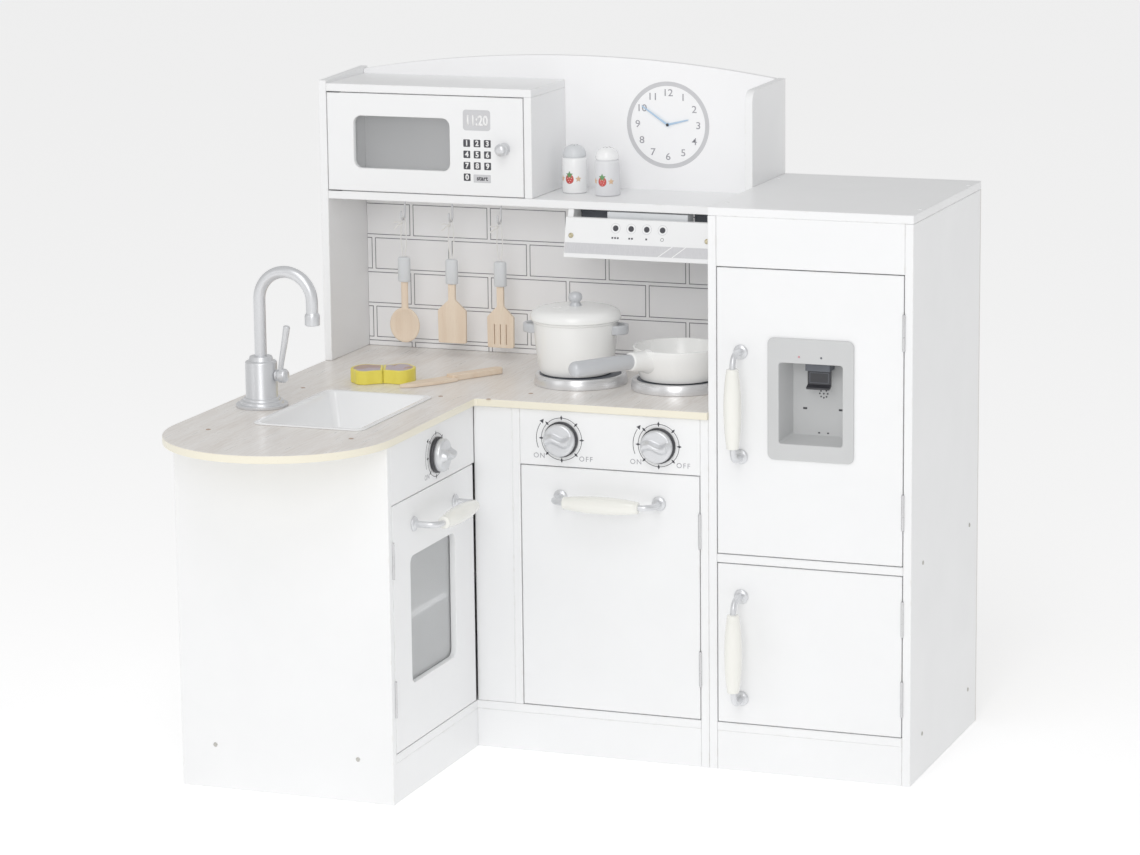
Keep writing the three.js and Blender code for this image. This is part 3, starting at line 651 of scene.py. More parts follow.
def make_tiled_paint():
    """White paint printed with brick-bond tiles, each outlined, on the lower back wall.

    Rows are row = floor((z - z0) / h); odd rows shift by half a tile; a line runs where the
    distance to the tile's own edge is half a joint.
    """
    made, tree, shader, where = start_material("tile_print", 0.34, coat_weight=0.12,
                                               coat_roughness=0.2)
    skin = use_group(tree, SKIN, where, Scale=700.0)
    split = node(tree, "ShaderNodeSeparateXYZ", {0: where})
    joint, width, height = 0.0058, 0.128, 0.0535
    up = maths(tree, "DIVIDE", maths(tree, "SUBTRACT", split.outputs[2], 0.5331 + ORIGIN[2]),
               height)
    row = maths(tree, "FLOOR", up)
    shift = maths(tree, "MULTIPLY", maths(tree, "FLOORED_MODULO", row, 2.0), 0.5)
    along = maths(tree, "ADD", maths(tree, "DIVIDE", maths(
        tree, "SUBTRACT", split.outputs[0], -0.5332 + ORIGIN[0]), width), shift)

    def to_edge(value, size):
        part = maths(tree, "FRACT", value)
        return maths(tree, "MULTIPLY", maths(tree, "MINIMUM", part, maths(
            tree, "SUBTRACT", 1.0, part)), size)

    near = maths(tree, "MINIMUM", to_edge(along, width), to_edge(up, height))
    off = maths(tree, "ABSOLUTE", maths(tree, "SUBTRACT", near, joint / 2))
    line = ramp(tree, off, 0.00072, 0.0005)
    below = maths(tree, "LESS_THAN", split.outputs[2], 0.7712 + ORIGIN[2])
    front = node(tree, "ShaderNodeNewGeometry")
    facing = maths(tree, "LESS_THAN", node(tree, "ShaderNodeSeparateXYZ", {
        0: front.outputs["Normal"]}).outputs[1], -0.5)
    line = maths(tree, "MULTIPLY", maths(tree, "MULTIPLY", line, below), facing)
    white = blend_colour(tree, skin.outputs["Tone"], (0.94, 0.94, 0.95), (0.955, 0.955, 0.965))
    tone = blend_colour(tree, line, white, (0.10, 0.10, 0.115))
    dress(tree, shader, tone, skin.outputs["Height"], 6e-6)
    return made


def make_oak_worktop():
    """Whitewashed oak foil on top and a cream band round the edge."""
    made, tree, shader, where = start_material("whitewashed_oak", 0.3, coat_weight=0.15,
                                               coat_roughness=0.14)
    along_y = node(tree, "ShaderNodeMapping", {
        "Vector": where, "Rotation": (0, 0, math.radians(90))}).outputs[0]
    grain = use_group(tree, GRAIN, along_y, Width=230.0)
    pale = blend_colour(tree, ramp(tree, grain.outputs["Figure"], 0.38, 0.66),
                        (0.82, 0.785, 0.745), (0.73, 0.675, 0.62))
    pale = blend_colour(tree, ramp(tree, grain.outputs["Fibre"], 0.42, 0.62, 0, 0.75), pale,
                        (0.88, 0.855, 0.825))
    pale = blend_colour(tree, maths(tree, "MULTIPLY", grain.outputs["Pores"], 0.35), pale,
                        (0.50, 0.42, 0.35))
    normal = node(tree, "ShaderNodeSeparateXYZ", {
        0: node(tree, "ShaderNodeNewGeometry").outputs["Normal"]})
    top = maths(tree, "GREATER_THAN", normal.outputs[2], 0.6)
    dress(tree, shader, blend_colour(tree, top, (0.86, 0.81, 0.66), pale), grain.outputs["Fibre"],
          1.2e-5, ramp(tree, grain.outputs["Fibre"], 0.3, 0.7, 0.36, 0.26))
    return made


def make_beech(name, along_z):
    """Bare beech with fine flecks; the grain runs along Z or along X."""
    made, tree, shader, where = start_material(name, 0.55)
    turned_where = node(tree, "ShaderNodeMapping", {
        "Vector": where, "Rotation": (0, math.radians(90 if along_z else 0), 0)}).outputs[0]
    grain = use_group(tree, GRAIN, turned_where, Width=520.0)
    tone = blend_colour(tree, ramp(tree, grain.outputs["Figure"], 0.35, 0.65),
                        (0.84, 0.70, 0.55), (0.77, 0.61, 0.46))
    tone = blend_colour(tree, maths(tree, "MULTIPLY", grain.outputs["Pores"], 0.4), tone,
                        (0.62, 0.45, 0.30))
    dress(tree, shader, tone, grain.outputs["Fibre"], 2.5e-5)
    return made


def make_silver_paint():
    """Silver lacquer: tiny flakes that catch the light."""
    made, tree, shader, where = start_material("silver_lacquer", 0.34, 0.7, coat_weight=0.3,
                                               coat_roughness=0.12)
    flakes = node(tree, "ShaderNodeTexVoronoi", {"Vector": where, "Scale": 2600.0})
    flake = ramp(tree, flakes.outputs["Distance"], 0.1, 0.6)
    dress(tree, shader, blend_colour(tree, flake, (0.80, 0.81, 0.83), (0.66, 0.67, 0.69)),
          flakes.outputs["Distance"], 4e-6, ramp(tree, flake, 0, 1, 0.28, 0.42))
    return made


def make_brushed(name, roughness, metallic, stretch, scale, dark, pale, depth, shine=None):
    """Satin metal with faint lines: a noise stretched by a share along each axis."""
    made, tree, shader, where = start_material(name, roughness, metallic)
    lines = noise(tree, stretched(tree, where, stretch), scale, 3.0)
    dress(tree, shader, blend_colour(tree, lines, dark, pale), lines, depth,
          ramp(tree, lines, 0.3, 0.7, *shine) if shine else None)
    return made


def make_clear_pane():
    """Clear plastic: nearly nothing face on, and a brighter sheen towards its edges."""
    made, tree, shader, where = start_material("clear_pane", 0.05, ior=1.49)
    skin = use_group(tree, SKIN, where, Scale=60.0)
    tone = blend_colour(tree, skin.outputs["Tone"], (0.90, 0.92, 0.93), (0.94, 0.95, 0.96))
    rim = node(tree, "ShaderNodeLayerWeight", {"Blend": 0.35}).outputs["Fresnel"]
    tree.links.new(ramp(tree, rim, 0.0, 1.0, 0.10, 0.7), shader.inputs["Alpha"])
    dress(tree, shader, tone, skin.outputs["Height"], 4e-6)
    return made


def make_cotton():
    """Twisted thread, with fibres that run across the twist."""
    made, tree, shader, where = start_material("cotton_thread", 0.9, sheen_weight=0.4)
    fibres = noise(tree, where, 4200.0, 3.0)
    dress(tree, shader, blend_colour(tree, fibres, (0.70, 0.69, 0.67), (0.92, 0.91, 0.89)),
          fibres, 6e-5)
    return made


def make_food_print():
    """A brown and mauve print with pale specks on the toy food's top."""
    made, tree, shader, where = start_material("food_print", 0.42)
    patches = node(tree, "ShaderNodeTexVoronoi", {"Vector": where, "Scale": 42.0})
    shade = node(tree, "ShaderNodeSeparateColor", {0: patches.outputs["Color"]})
    tone = blend_colour(tree, maths(tree, "GREATER_THAN", shade.outputs[0], 0.5),
                        (0.42, 0.27, 0.22), (0.47, 0.40, 0.47))
    specks = node(tree, "ShaderNodeTexVoronoi", {"Vector": where, "Scale": 260.0})
    dots = ramp(tree, specks.outputs["Distance"], 0.22, 0.14)
    tone = blend_colour(tree, maths(tree, "MULTIPLY", dots, 0.5), tone, (0.85, 0.78, 0.5))
    dress(tree, shader, tone, specks.outputs["Distance"], 1e-5)
    return made


WHITE = (0.885, 0.89, 0.897)
white_paint = coated("satin_white_paint", WHITE, 0.36, 0.022, 700.0, 6e-6,
                     worn=(0.74, 0.72, 0.68), amount=0.35, coat_weight=0.12,
                     coat_roughness=0.22)
hardboard = make_rear_board()
tiled_paint = make_tiled_paint()
oak = make_oak_worktop()
beech_upright = make_beech("beech_upright", True)
beech_lying = make_beech("beech_lying", False)
silver = make_silver_paint()
steel = make_brushed("brushed_steel", 0.3, 0.85, (0.2, 0.2, 14.0), 120.0, (0.76, 0.76, 0.77),
                     (0.86, 0.86, 0.87), 1.5e-6, (0.26, 0.36))
brushed_band = make_brushed("brushed_band", 0.42, 0.35, (1.0, 0.08, 0.08), 1900.0,
                            (0.52, 0.52, 0.54), (0.70, 0.70, 0.72), 4e-6)
pane = make_clear_pane()
cotton = make_cotton()
food_print = make_food_print()
bright_steel = coated("bright_steel", (0.62, 0.62, 0.63), 0.2, 0.08, 1400.0, 4e-6, metallic=1.0)
zinc = coated("zinc_plate", (0.55, 0.54, 0.50), 0.34, 0.2, 1200.0, 1e-5, metallic=0.9)
brass = coated("brass_screw", (0.62, 0.55, 0.36), 0.3, 0.2, 1500.0, 1e-5, metallic=0.85)
brown_cap = coated("brown_cap", (0.42, 0.27, 0.18), 0.5, 0.2, 1500.0, 1e-5)
ivory = coated("ivory_grip", (0.87, 0.865, 0.81), 0.2, 0.02, 500.0, 4e-6, coat_weight=0.5,
               coat_roughness=0.08)
sink_white = coated("glossy_white_plastic", (0.90, 0.905, 0.91), 0.16, 0.015, 400.0, 5e-6)
ware_white = coated("gloss_white_enamel", (0.92, 0.92, 0.905), 0.26, 0.02, 620.0, 8e-6,
                    coat_weight=0.35, coat_roughness=0.12)
grey_panel = coated("grey_plastic", (0.565, 0.572, 0.575), 0.42, 0.03, 1300.0, 1e-5)
grey_lacquer = coated("grey_lacquer", (0.56, 0.575, 0.60), 0.34, 0.05, 1500.0, 8e-6,
                      metallic=0.15, coat_weight=0.2, coat_roughness=0.2)
pale_grey = coated("pale_grey_paint", (0.74, 0.745, 0.765), 0.32, 0.03, 1200.0, 6e-6)
pearl_grey = coated("pearl_grey", (0.66, 0.68, 0.70), 0.34, 0.04, 1500.0, 8e-6)
black_plastic = coated("black_plastic", (0.028, 0.028, 0.034), 0.4, 0.2, 1500.0, 1e-5)
dark_shell = coated("dark_shell", (0.10, 0.11, 0.13), 0.5, 0.15, 1200.0, 1e-5)
black_ink = coated("black_ink", (0.04, 0.04, 0.05), 0.5, 0.1, 2000.0, 1e-6)
grey_ink = coated("grey_ink", (0.58, 0.58, 0.60), 0.45, 0.04, 2000.0, 1e-6)
text_ink = coated("text_ink", (0.33, 0.33, 0.36), 0.45, 0.06, 2000.0, 1e-6)
white_ink = coated("white_ink", (0.93, 0.93, 0.93), 0.4, 0.02, 2000.0, 1e-6)
red_ink = coated("red_ink", (0.62, 0.07, 0.06), 0.4, 0.2, 1800.0, 1e-6)
rose_ink = coated("rose_ink", (0.62, 0.26, 0.29), 0.45, 0.1, 1800.0, 1e-6)
green_ink = coated("green_ink", (0.12, 0.30, 0.11), 0.4, 0.25, 1800.0, 1e-6)
tan_ink = coated("tan_ink", (0.72, 0.48, 0.30), 0.45, 0.1, 1800.0, 1e-6)
light_blue = coated("light_blue_plastic", (0.42, 0.60, 0.80), 0.35, 0.05, 1200.0, 5e-6)
yellow = coated("yellow_paint", (0.87, 0.74, 0.09), 0.38, 0.06, 900.0, 1e-5)


# ---- boards ---------------------------------------------------------------------------

def boards(name, shapes, node_name):
    piece(name, shapes, white_paint, "cabinet", node_name)


def plain_boards(*names):
    for name in names:
        boards(name + "_board", block(*span(name)), name)


def build_fridge():
    plain_boards("fridge_side_left", "fridge_side_right", "fridge_mid_shelf")
    (x0, x1), (y0, y1), (z0, z1) = span("fridge_top")
    inside = [x0 + BOARD + 0.3, x1 - BOARD - 0.3]
    boards("fridge_top_boards", [
        block([x0, x1], [y0, y1], [z1 - BOARD, z1]),
        block(inside, [y0 + 0.6, BOARD], [z0, z1 - BOARD - 0.05])], "fridge_top")
    (x0, x1), (y0, y1), (z0, z1) = span("fridge_base")
    boards("fridge_base_boards", [
        block([x0, x1], [y0, y1], [z1 - BOARD, z1]),
        block([x0, x1], [y0 + 0.5, BOARD], [z0, z1 - BOARD - 0.05])], "fridge_base")


def build_lower_boards():
    plain_boards("stove_side_right", "stove_control_panel", "wing_end_panel",
                 "wing_control_panel", "wing_shelf")
    (x0, x1), (y0, y1), (z0, z1) = span("corner_filler")
    boards("corner_filler_boards", [
        block([x0, x1 - BOARD - 0.1], [0.8, BOARD], [z0, z1]),
        block([x1 - BOARD, x1], [y0, y1], [z0, z1])], "corner_filler")
    (x0, x1), (y0, y1), (z0, z1) = span("base_plinth")
    low = z1 - BOARD
    corner = outline([(x0, y0, EDGE), (WING_X, y0, EDGE), (WING_X, 0, 0.3), (x1, 0, EDGE),
                      (x1, y1, EDGE), (x0, y1, EDGE)])
    boards("floor_shelf_boards", [
        slab(corner, low, z1),
        block([WING_X - BOARD, WING_X - 0.5], [y0, 0.4], [z0, low - 0.05]),
        block([WING_X - BOARD, x1], [0.5, BOARD], [z0, low - 0.05])], "base_plinth")
    (x0, x1), (y0, y1), (z0, z1) = span("rear_and_side_panel")
    stove_top = span("wing_end_panel")[2][1]
    sheet = outline([(x0, z0, EDGE), (x1, z0, EDGE), (x1, z1, EDGE), (0, z1, EDGE),
                     (0, stove_top, 0.3), (x0, stove_top, EDGE)], margin=1.0)
    piece("rear_sheet", upright(slab(sheet, y1 - 3.7, y1, 0.5, margin=0.8)), hardboard,
          "cabinet", "rear_and_side_panel")
    piece("wing_side_board", block([x0, x0 + BOARD], [y0, y1 - 3.8], [z0, stove_top]),
          white_paint)


def build_worktop():
    (x0, x1), (y0, y1), (z0, z1) = span("worktop")
    lip, end = 5.0, 165.0
    right = WING_X + lip
    bowl = span("sink_basin")
    hole = [bowl[0][0] + 5.7, bowl[0][1] - 5.7, bowl[1][0] + 5.7, bowl[1][1] - 5.7]
    edge = outline([(x1, -lip, 1), (x1, y1, 1), (x0, y1, 1), (x0, y0, end), (right, y0, end),
                    (right, -lip - 3, 1), (right + 3, -lip, 1)], steps=22, margin=0.25)
    cut_out = rectangle(*hole, 9, hole=True)
    piece("worktop_board", slab(edge, z0, z1, 1.0, [cut_out], 0.8), oak, "cabinet", "worktop")
    (x0, x1), (y0, y1), (z0, z1) = bowl
    top = z1 - 2.2
    profile = [(26, z0, 8), (23, z0 + 0.6, 8), (21.6, z0 + 2.5, 8), (6.6, top - 0.4, 9),
               (6.3, top + 0.25, 9), (0.4, top + 0.25, 15), (0.05, top + 0.6, 15),
               (0, top + 1.3, 15), (0.5, z1 - 0.25, 15), (1.6, z1, 14.6), (5.8, z1, 12),
               (8.0, z1 - 0.4, 11.4), (9.6, z1 - 1.6, 11), (10.4, top - 1.6, 10.6),
               (22.4, z0 + 6.0, 9), (24.0, z0 + 3.4, 10), (26.5, z0 + 2.2, 11), (30, z0 + 2, 12)]
    piece("sink_bowl", loft([box_ring(x0 + g, x1 - g, y0 + g, y1 - g, r, z)
                             for g, z, r in profile]), sink_white, "cabinet", "sink_basin")


# ---- doors, handles and knobs ---------------------------------------------------------------

def handle(name, place_it):
    """A bow handle: two flanges with bent arms, and a barrel grip on them, along Z."""
    half, reach, grip, fat = 75.0, 37.5, 57.0, 12.6
    flange = turned(revolve([(0, 0), (10.4, 0), (10.6, 0.8), (10.0, 2.0), (8.2, 2.9), (6.2, 3.3),
                             (5.4, 4.6), (4.9, 6.4), (0, 6.6)], 40), "X", 90)
    arms = []
    for side in (1, -1):
        bend = curve_through([(0, -2, side * half), (0, -13, side * (half + 1.2)),
                              (0, -27, side * (half - 0.5)), (0, -35, side * (half - 8)),
                              (0, -reach, side * (grip - 2))], 28)
        arms.append(sweep(bend, np.linspace(4.9, 4.2, 28), 20, dome=False))
        arms.append(moved(flange, (0, -0.3, side * half)))
    s = np.linspace(-1, 1, 25)
    swell = fat - (fat - 8.7) * np.abs(s) ** 2.2
    lip = [(0, -grip), (7.2, -grip), (8.3, -grip + 0.4), (8.9, -grip + 1.4)]
    body_rows = list(zip(swell, s * (grip - 2.6)))
    rows = lip + body_rows + [(r, -z) for r, z in lip[::-1]]
    barrel = moved(revolve(rows, 40), (0, -reach, 0))
    body = name + "_door_body"
    piece(name + "_handle_arms", [place_it(a) for a in arms], silver, body)
    piece(name + "_handle_grip", place_it(barrel), ivory, body, name + "_handle")


def knob(name, place_it):
    """A dial on a black ring, with a raised grip that runs across it in a wave.

    Over the face the height is h = 15.4 + 9.5 g(v + 4.2 sin(pi u / 21)) f(r), where g is a
    smooth ridge and f fades it at the rim.
    """
    ring = revolve([(0, 0.4), (25.2, 0.4), (25.9, 0.9), (25.9, 4.6), (25.3, 5.4), (22.5, 5.6),
                    (0, 5.6)], 96)
    side = [(0, 5.2), (22.6, 5.2), (23.2, 5.8), (23.7, 9), (23.6, 12.6), (22.9, 14.2),
            (21.6, 15.0)]
    face = [(r, 15.4) for r in np.linspace(20.6, 0, 30)]
    points, faces, edge = revolve(side + face, 128)
    x, y, z = points.T
    r = np.hypot(x, y)
    v = y + 4.2 * np.sin(np.pi * x / 21.0)
    ridge = np.exp(-(np.abs(v) / 5.6) ** 3.2)
    fade = np.clip((21.2 - r) / 3.4, 0, 1)
    fade = fade * fade * (3 - 2 * fade)
    lift = np.where(z > 15.2, 9.5 * ridge * fade, 0)
    dial = (np.stack([x, y, z + lift], 1), faces, edge)
    turn = lambda shape: place_it(turned(turned(shape, "X", 90), "Y", -8))
    body = name + "_body"
    piece(name + "_ring", turn(ring), black_plastic, body)
    piece(name + "_dial", turn(dial), silver, body, name)
    dial_print(name, place_it)


def dial_print(name, place_it):
    """The scale round a knob: a ring with eight marks, an arrow, and its two words."""
    mark, tick_high, tick_wide, arrow_radius = 31, 3.9, 1.9, 38.5
    shapes = [decal(circle(31.3, count=96), [circle(30.4, count=96, hole=True)])]
    raised = lambda points: moved(decal(plain_loop(points)), (0, -0.02, 0))

    def rays(degrees):
        """The directions out from the knob's middle and square to that."""
        a = math.radians(degrees)
        return np.array([math.cos(a), math.sin(a)]), np.array([-math.sin(a), math.cos(a)])

    for k in range(8):
        u, v = rays(k * 45)
        c = mark * u
        shapes.append(raised([c + tick_high * u, c + tick_wide * v, c - tick_high * u,
                              c - tick_wide * v]))
    shapes.append(decal(band(arrow_radius, 0.95, 146, 202)))
    u, v = rays(143)
    c = arrow_radius * u
    shapes.append(raised([c - 6.4 * v, c + 3.4 * u, c - 3.4 * u]))
    piece(name + "_scale", [place_it(s) for s in shapes], black_ink)
    words = [lettering("ON", 10.5, -34.5, -26, gap=1.2),
             lettering("OFF", 10.5, 37, -27.5, gap=1.25)]
    piece(name + "_words", [place_it(w) for w in words], text_ink)


def front_door(name, node_name, body, holes=()):
    (x0, x1), (y0, y1), (z0, z1) = span(node_name)
    piece(name, upright(slab(rectangle(x0, x1, z0, z1, 1.0), y0, y1, 1.0, holes)), white_paint,
          body, node_name)


def build_doors():
    tray = rectangle(101.6, 201.4, 480.8, 602.9, 1, hole=True)
    front_door("fridge_door_panel", "fridge_door", "fridge_door_body", [tray])
    front_door("freezer_door_panel", "freezer_door", "freezer_door_body")
    front_door("stove_door_panel", "stove_door", "stove_door_body")
    (_, _), (y0, y1), (z0, z1) = span("wing_door")
    window = rectangle(-240, -77, 157, 340, 12, hole=True)
    panel = upright(slab(rectangle(y0, y1, z0, z1, 1.0), 0, 9, 1.0, [window]))
    piece("wing_door_panel", onto_wing(panel), white_paint, "wing_door_body", "wing_door")
    (_, _), (y0, y1), (z0, z1) = span("wing_window")
    piece("wing_window_pane", onto_wing(upright(slab(rectangle(y0, y1, z0, z1, 2), 9.3, 11,
                                                     0.3, margin=0.5))), pane,
          "wing_door_body", "wing_window")


def build_handles():
    for name in ("fridge", "freezer"):
        x, _, z = middle(name + "_handle")
        handle(name, lambda shape: moved(shape, (x, 0, z)))
    x, _, z = middle("stove_handle")
    y = middle("wing_handle")[1]
    lying = lambda shape, along: moved(turned(shape, "Y", 90), (along, 0, z))
    handle("stove", lambda shape: lying(shape, x))
    handle("wing", lambda shape: onto_wing(lying(shape, y)))


def build_knobs():
    for name in ("stove_knob_left", "stove_knob_right"):
        x, _, z = middle(name)
        knob(name, lambda shape: moved(shape, (x, 0, z)))
    _, y, z = middle("wing_knob")
    knob("wing_knob", lambda shape: onto_wing(moved(shape, (y, 0, z))))


# ---- dispenser, tap, burners and pans ---------------------------------------------------------

def build_dispenser():
    (x0, x1), (y0, y1), (z0, z1) = span("dispenser_housing")
    mouth_box = (105, 198, 484, 599.5)
    mouth = rectangle(*mouth_box, 4, hole=True)
    rim = upright(slab(rectangle(x0, x1, z0, z1, 9), y0, -0.3, 1.1, [mouth], 1.0))
    front, shrink = np.array(mouth_box), np.array([4.8, -4.8, 3.7, -3.7])
    outer = np.array([-2.4, 2.4, -2.4, 2.4])
    rows = [(3.4, 1.0, 50.0, 0), (0.5, 1.0, 49.5, 0), (0, 0.97, 47.5, 0), (0, 0.5, 24.0, 0),
            (0, 0, -0.9, 0), (0, 0, -0.9, 1), (0, 1.0, y1, 1)]
    rings = [box_ring(*(front + shrink * k + outer * out + np.array([1, -1, 1, -1]) * g),
                      4 + 2 * out, y) for g, k, y, out in rows]
    spout = block([138, 174], [16, 40], [586, 599.2], 0.8)
    piece("dispenser_tray", [rim, upright(loft(rings))], grey_panel, "fridge_door_body",
          "dispenser_housing", crease=40)
    piece("dispenser_spout", spout, dark_shell, "fridge_door_body")
    holes = [(154.9, 548.2), (149, 548.4), (160.6, 548.3), (154.9, 542.3), (158.9, 543.9),
             (150.7, 552), (158.5, 552.5), (150.9, 543.9)]
    dots = [decal(circle(1.3, x, z, 16)) for x, z in holes]
    dots += [decal(circle(1.7, x, z, 20)) for x, z in ((148.1, 491.2), (161.2, 491.2))]
    dots += [decal(rectangle(x - 3.1, x + 3.1, 524.4, 527.4, 0.6)) for x in (127.5, 180)]
    piece("dispenser_openings", [moved(d, (0, 50, 0)) for d in dots], black_plastic,
          "fridge_door_body")
    lamp = turned(revolve([(0, 0), (1.5, 0), (1.5, 0.3), (0.9, 0.9), (0, 1.1)], 20), "X", 90)
    piece("dispenser_lamp_red", moved(lamp, (134.8, y0, 609)), rose_ink, "fridge_door_body")
    piece("dispenser_lamp_grey", moved(lamp, (167.1, y0, 609)), dark_shell, "fridge_door_body")
    (x0, x1), _, _ = span("dispenser_lever")
    flap = outline([(24, 585.5, 0.4), (24, 566, 1), (16, 562.5, 0.6), (17, 559.5, 0.8),
                    (28, 563, 1), (28, 585.5, 0.4)], steps=3, margin=0.3)
    piece("dispenser_flap", sideways(slab(flap, x0, x1, 0.35, margin=0.3)), black_plastic,
          "dispenser_lever_body", "dispenser_lever")
    line = decal(rectangle(x0 + 3, x1 - 3, 568, 583, 1),
                 [rectangle(x0 + 3.8, x1 - 3.8, 568.8, 582.2, 1, hole=True)])
    piece("dispenser_flap_line", moved(line, (0, 24, 0)), dark_shell, "dispenser_lever_body")


def build_faucet():
    lever = span("faucet_lever")
    x, y, low = -623.0, lever[1].mean(), span("worktop")[2][1]
    base = revolve([(0, 0.3), (37.2, 0.3), (37.5, 0.8), (37.5, 3.8), (36.8, 4.6), (31.6, 4.9),
                    (31.2, 5.4), (31.0, 8.4), (30.2, 9.2), (26.8, 9.5), (26.4, 10.0),
                    (26.2, 12.6), (25.4, 13.4), (23.3, 13.7), (23.0, 14.4), (23.0, 63.6),
                    (22.4, 65.2), (21.0, 66.2), (18.2, 66.6), (17.4, 67.6), (16.5, 72),
                    (15.6, 73), (9.4, 73.4), (0, 73.6)], 80)
    line = [(0, 0, 70), (0, 0, 100), (0, 0, 130)]
    arc = np.radians(np.linspace(180, 0, 25))
    path = np.array([*line, *np.stack([41 + 41 * np.cos(arc), 0 * arc, 155 + 41 * np.sin(arc)],
                                      1), (82, 0, 146), (82, 0, 136)])
    neck = sweep(even(path, 90), 8.7, 32, dome=False)
    nozzle = moved(revolve([(0, 122), (7.6, 122), (7.6, 121.2), (10.2, 121.2), (10.9, 122),
                            (11, 134.6), (10.4, 136.6), (9.2, 138.4), (8.9, 139.2), (0, 139.2)],
                           48), (82, 0, 0))
    place_it = lambda shape: moved(shape, (x, y, low))
    piece("faucet_spout", [place_it(s) for s in (base, neck, nozzle)], silver, "cabinet",
          "faucet", crease=35)
    pivot = turned(revolve([(0, 0), (8.2, 0), (8.4, 0.6), (8.4, 3.4), (7.6, 4.2), (7.6, 5.0),
                            (9.6, 5.4), (10.2, 6.2), (10.2, 13.0), (9.6, 15.0), (7.6, 17.2),
                            (4, 18.4), (0, 18.7)], 44), "Y", 90)
    stalk = sweep(curve_through([(31, -2, 52), (34.4, -3, 70), (39, -3, 94), (43, -3, 117)], 28),
                  np.linspace(3.6, 5.0, 28), 28)
    piece("faucet_lever_stalk", [place_it(moved(pivot, (23.3, 0, 46))), place_it(stalk)],
          silver, "faucet_lever_body", "faucet_lever", crease=40)


def burner(node_name):
    z0, z1 = span(node_name)[2]
    centre = (*middle(node_name)[:2], 0)
    ring = revolve([(0, z0), (68.6, z0), (69, z0 + 0.4), (69, z0 + 4), (67.4, z1 - 1.6),
                    (66.6, z1 - 0.4), (65.6, z1), (61.6, z1), (61, z1 - 0.4),
                    (60.6, z1 - 1.6), (0, z1 - 1.7)], 96)
    disc = revolve([(0, z1 - 1.6), (60.2, z1 - 1.6), (59.8, z1 - 1.0), (46, z1 - 0.8),
                    (0, z1 - 0.8)], 80)
    piece(node_name + "_ring", moved(ring, centre), steel, "cabinet", node_name,
          crease=35)
    piece(node_name + "_disc", moved(disc, centre), dark_shell)


def build_pans():
    (x, y, _), low = middle("pot"), span("pot")[2][0]
    bowl = revolve([(0, 0), (48, 0), (51.6, 0.8), (53.2, 3.2), (56, 16), (59.6, 42), (61.4, 66),
                    (62.2, 75.6), (63.4, 76.4), (64, 77.8), (63.9, 79.2), (63, 80), (61.4, 80),
                    (60.4, 79.2), (59.9, 76), (56.6, 46), (50, 9), (47, 6), (43, 5), (0, 5)],
                   96)
    pot = lambda shape: moved(turned(shape, "Z", 8), (x, y, low))
    piece("pot_bowl", pot(bowl), ware_white, "pot_body", "pot", crease=40)
    ears = []
    for side in (1, -1):
        ear = curve_through([(side * 57, -16.5, 66), (side * 66, -15.5, 66),
                             (side * 74, -9, 66), (side * 76, 0, 66), (side * 74, 9, 66),
                             (side * 66, 15.5, 66), (side * 57, 16.5, 66)], 44)
        ears.append(sweep(ear, 6.8, 32, 0.42, dome=False, square=0.4))
    piece("pot_ears", [pot(e) for e in ears], grey_lacquer, "pot_body")
    low = span("pot_lid")[2][0] + 3
    cover = revolve([(0, -3), (55.6, -3), (57, -2.4), (57.6, -1), (58, 0.3), (66, 0.3),
                     (67, 0.9), (67.2, 3), (66.7, 6.4), (65.2, 9.6), (62.2, 12.4), (57.6, 14.8),
                     (50, 16.8), (40, 18.0), (22, 18.8), (0, 19.0)], 96)
    ball = revolve([(0, 18.4), (9.0, 18.4), (9.2, 19.2), (8.0, 21.6), (6.4, 23.8), (6.6, 24.8),
                    (8.6, 26.4), (10.1, 29), (10.5, 31.6), (9.9, 34.4), (8.2, 36.8), (5.4, 38.6),
                    (0, 39.4)], 48)
    piece("pot_lid_cover", moved(cover, (x, y, low)), ware_white, "pot_lid_body", "pot_lid",
          crease=40)
    piece("pot_lid_knob", moved(ball, (x, y, low)), grey_lacquer, "pot_lid_body")
    (x, y, _), low = middle("burner_right"), span("burner_right")[2][1] + 0.3
    bowl = revolve([(0, 0), (52, 0), (55, 0.8), (56.2, 3), (60, 16), (63.6, 34), (65.8, 45.4),
                    (65.6, 46.8), (64.6, 47.6), (63.0, 47.6), (62, 46.8), (61.2, 42),
                    (56.4, 14), (53.6, 7), (51, 5.6), (0, 5)], 96)
    pan = lambda shape: moved(turned(shape, "Z", 240), (x, y, low))
    socket = sweep(curve_through([(58, 0, 31.4), (72, 0, 32.8), (90, 0, 34.6)], 14),
                   np.interp(np.linspace(0, 1, 14), [0, 0.35, 1], [18, 15.4, 13.4]), 32)
    grip = sweep(curve_through([(90, 0, 34.6), (112, 0, 35.2), (145, 0, 36), (193, 0, 36.6)],
                               40), np.interp(np.linspace(0, 1, 40), [0, 0.08, 0.5, 1],
                                              [10.4, 11.2, 11.5, 11.4]), 36, bulge=8.0)
    piece("pan_bowl", [pan(bowl), pan(socket)], ware_white, "pan_body", "pan",
          crease=40)
    piece("pan_grip", pan(grip), grey_lacquer, "pan_body")


# ---- the upper part ---------------------------------------------------------------------------

def end_board(name, corners):
    """A board cut to a shape in Y and Z, between its two faces in X."""
    loop = outline(corners, steps=5, margin=1.0)
    boards(name + "_board", sideways(slab(loop, *span(name)[0], margin=1.0)), name)


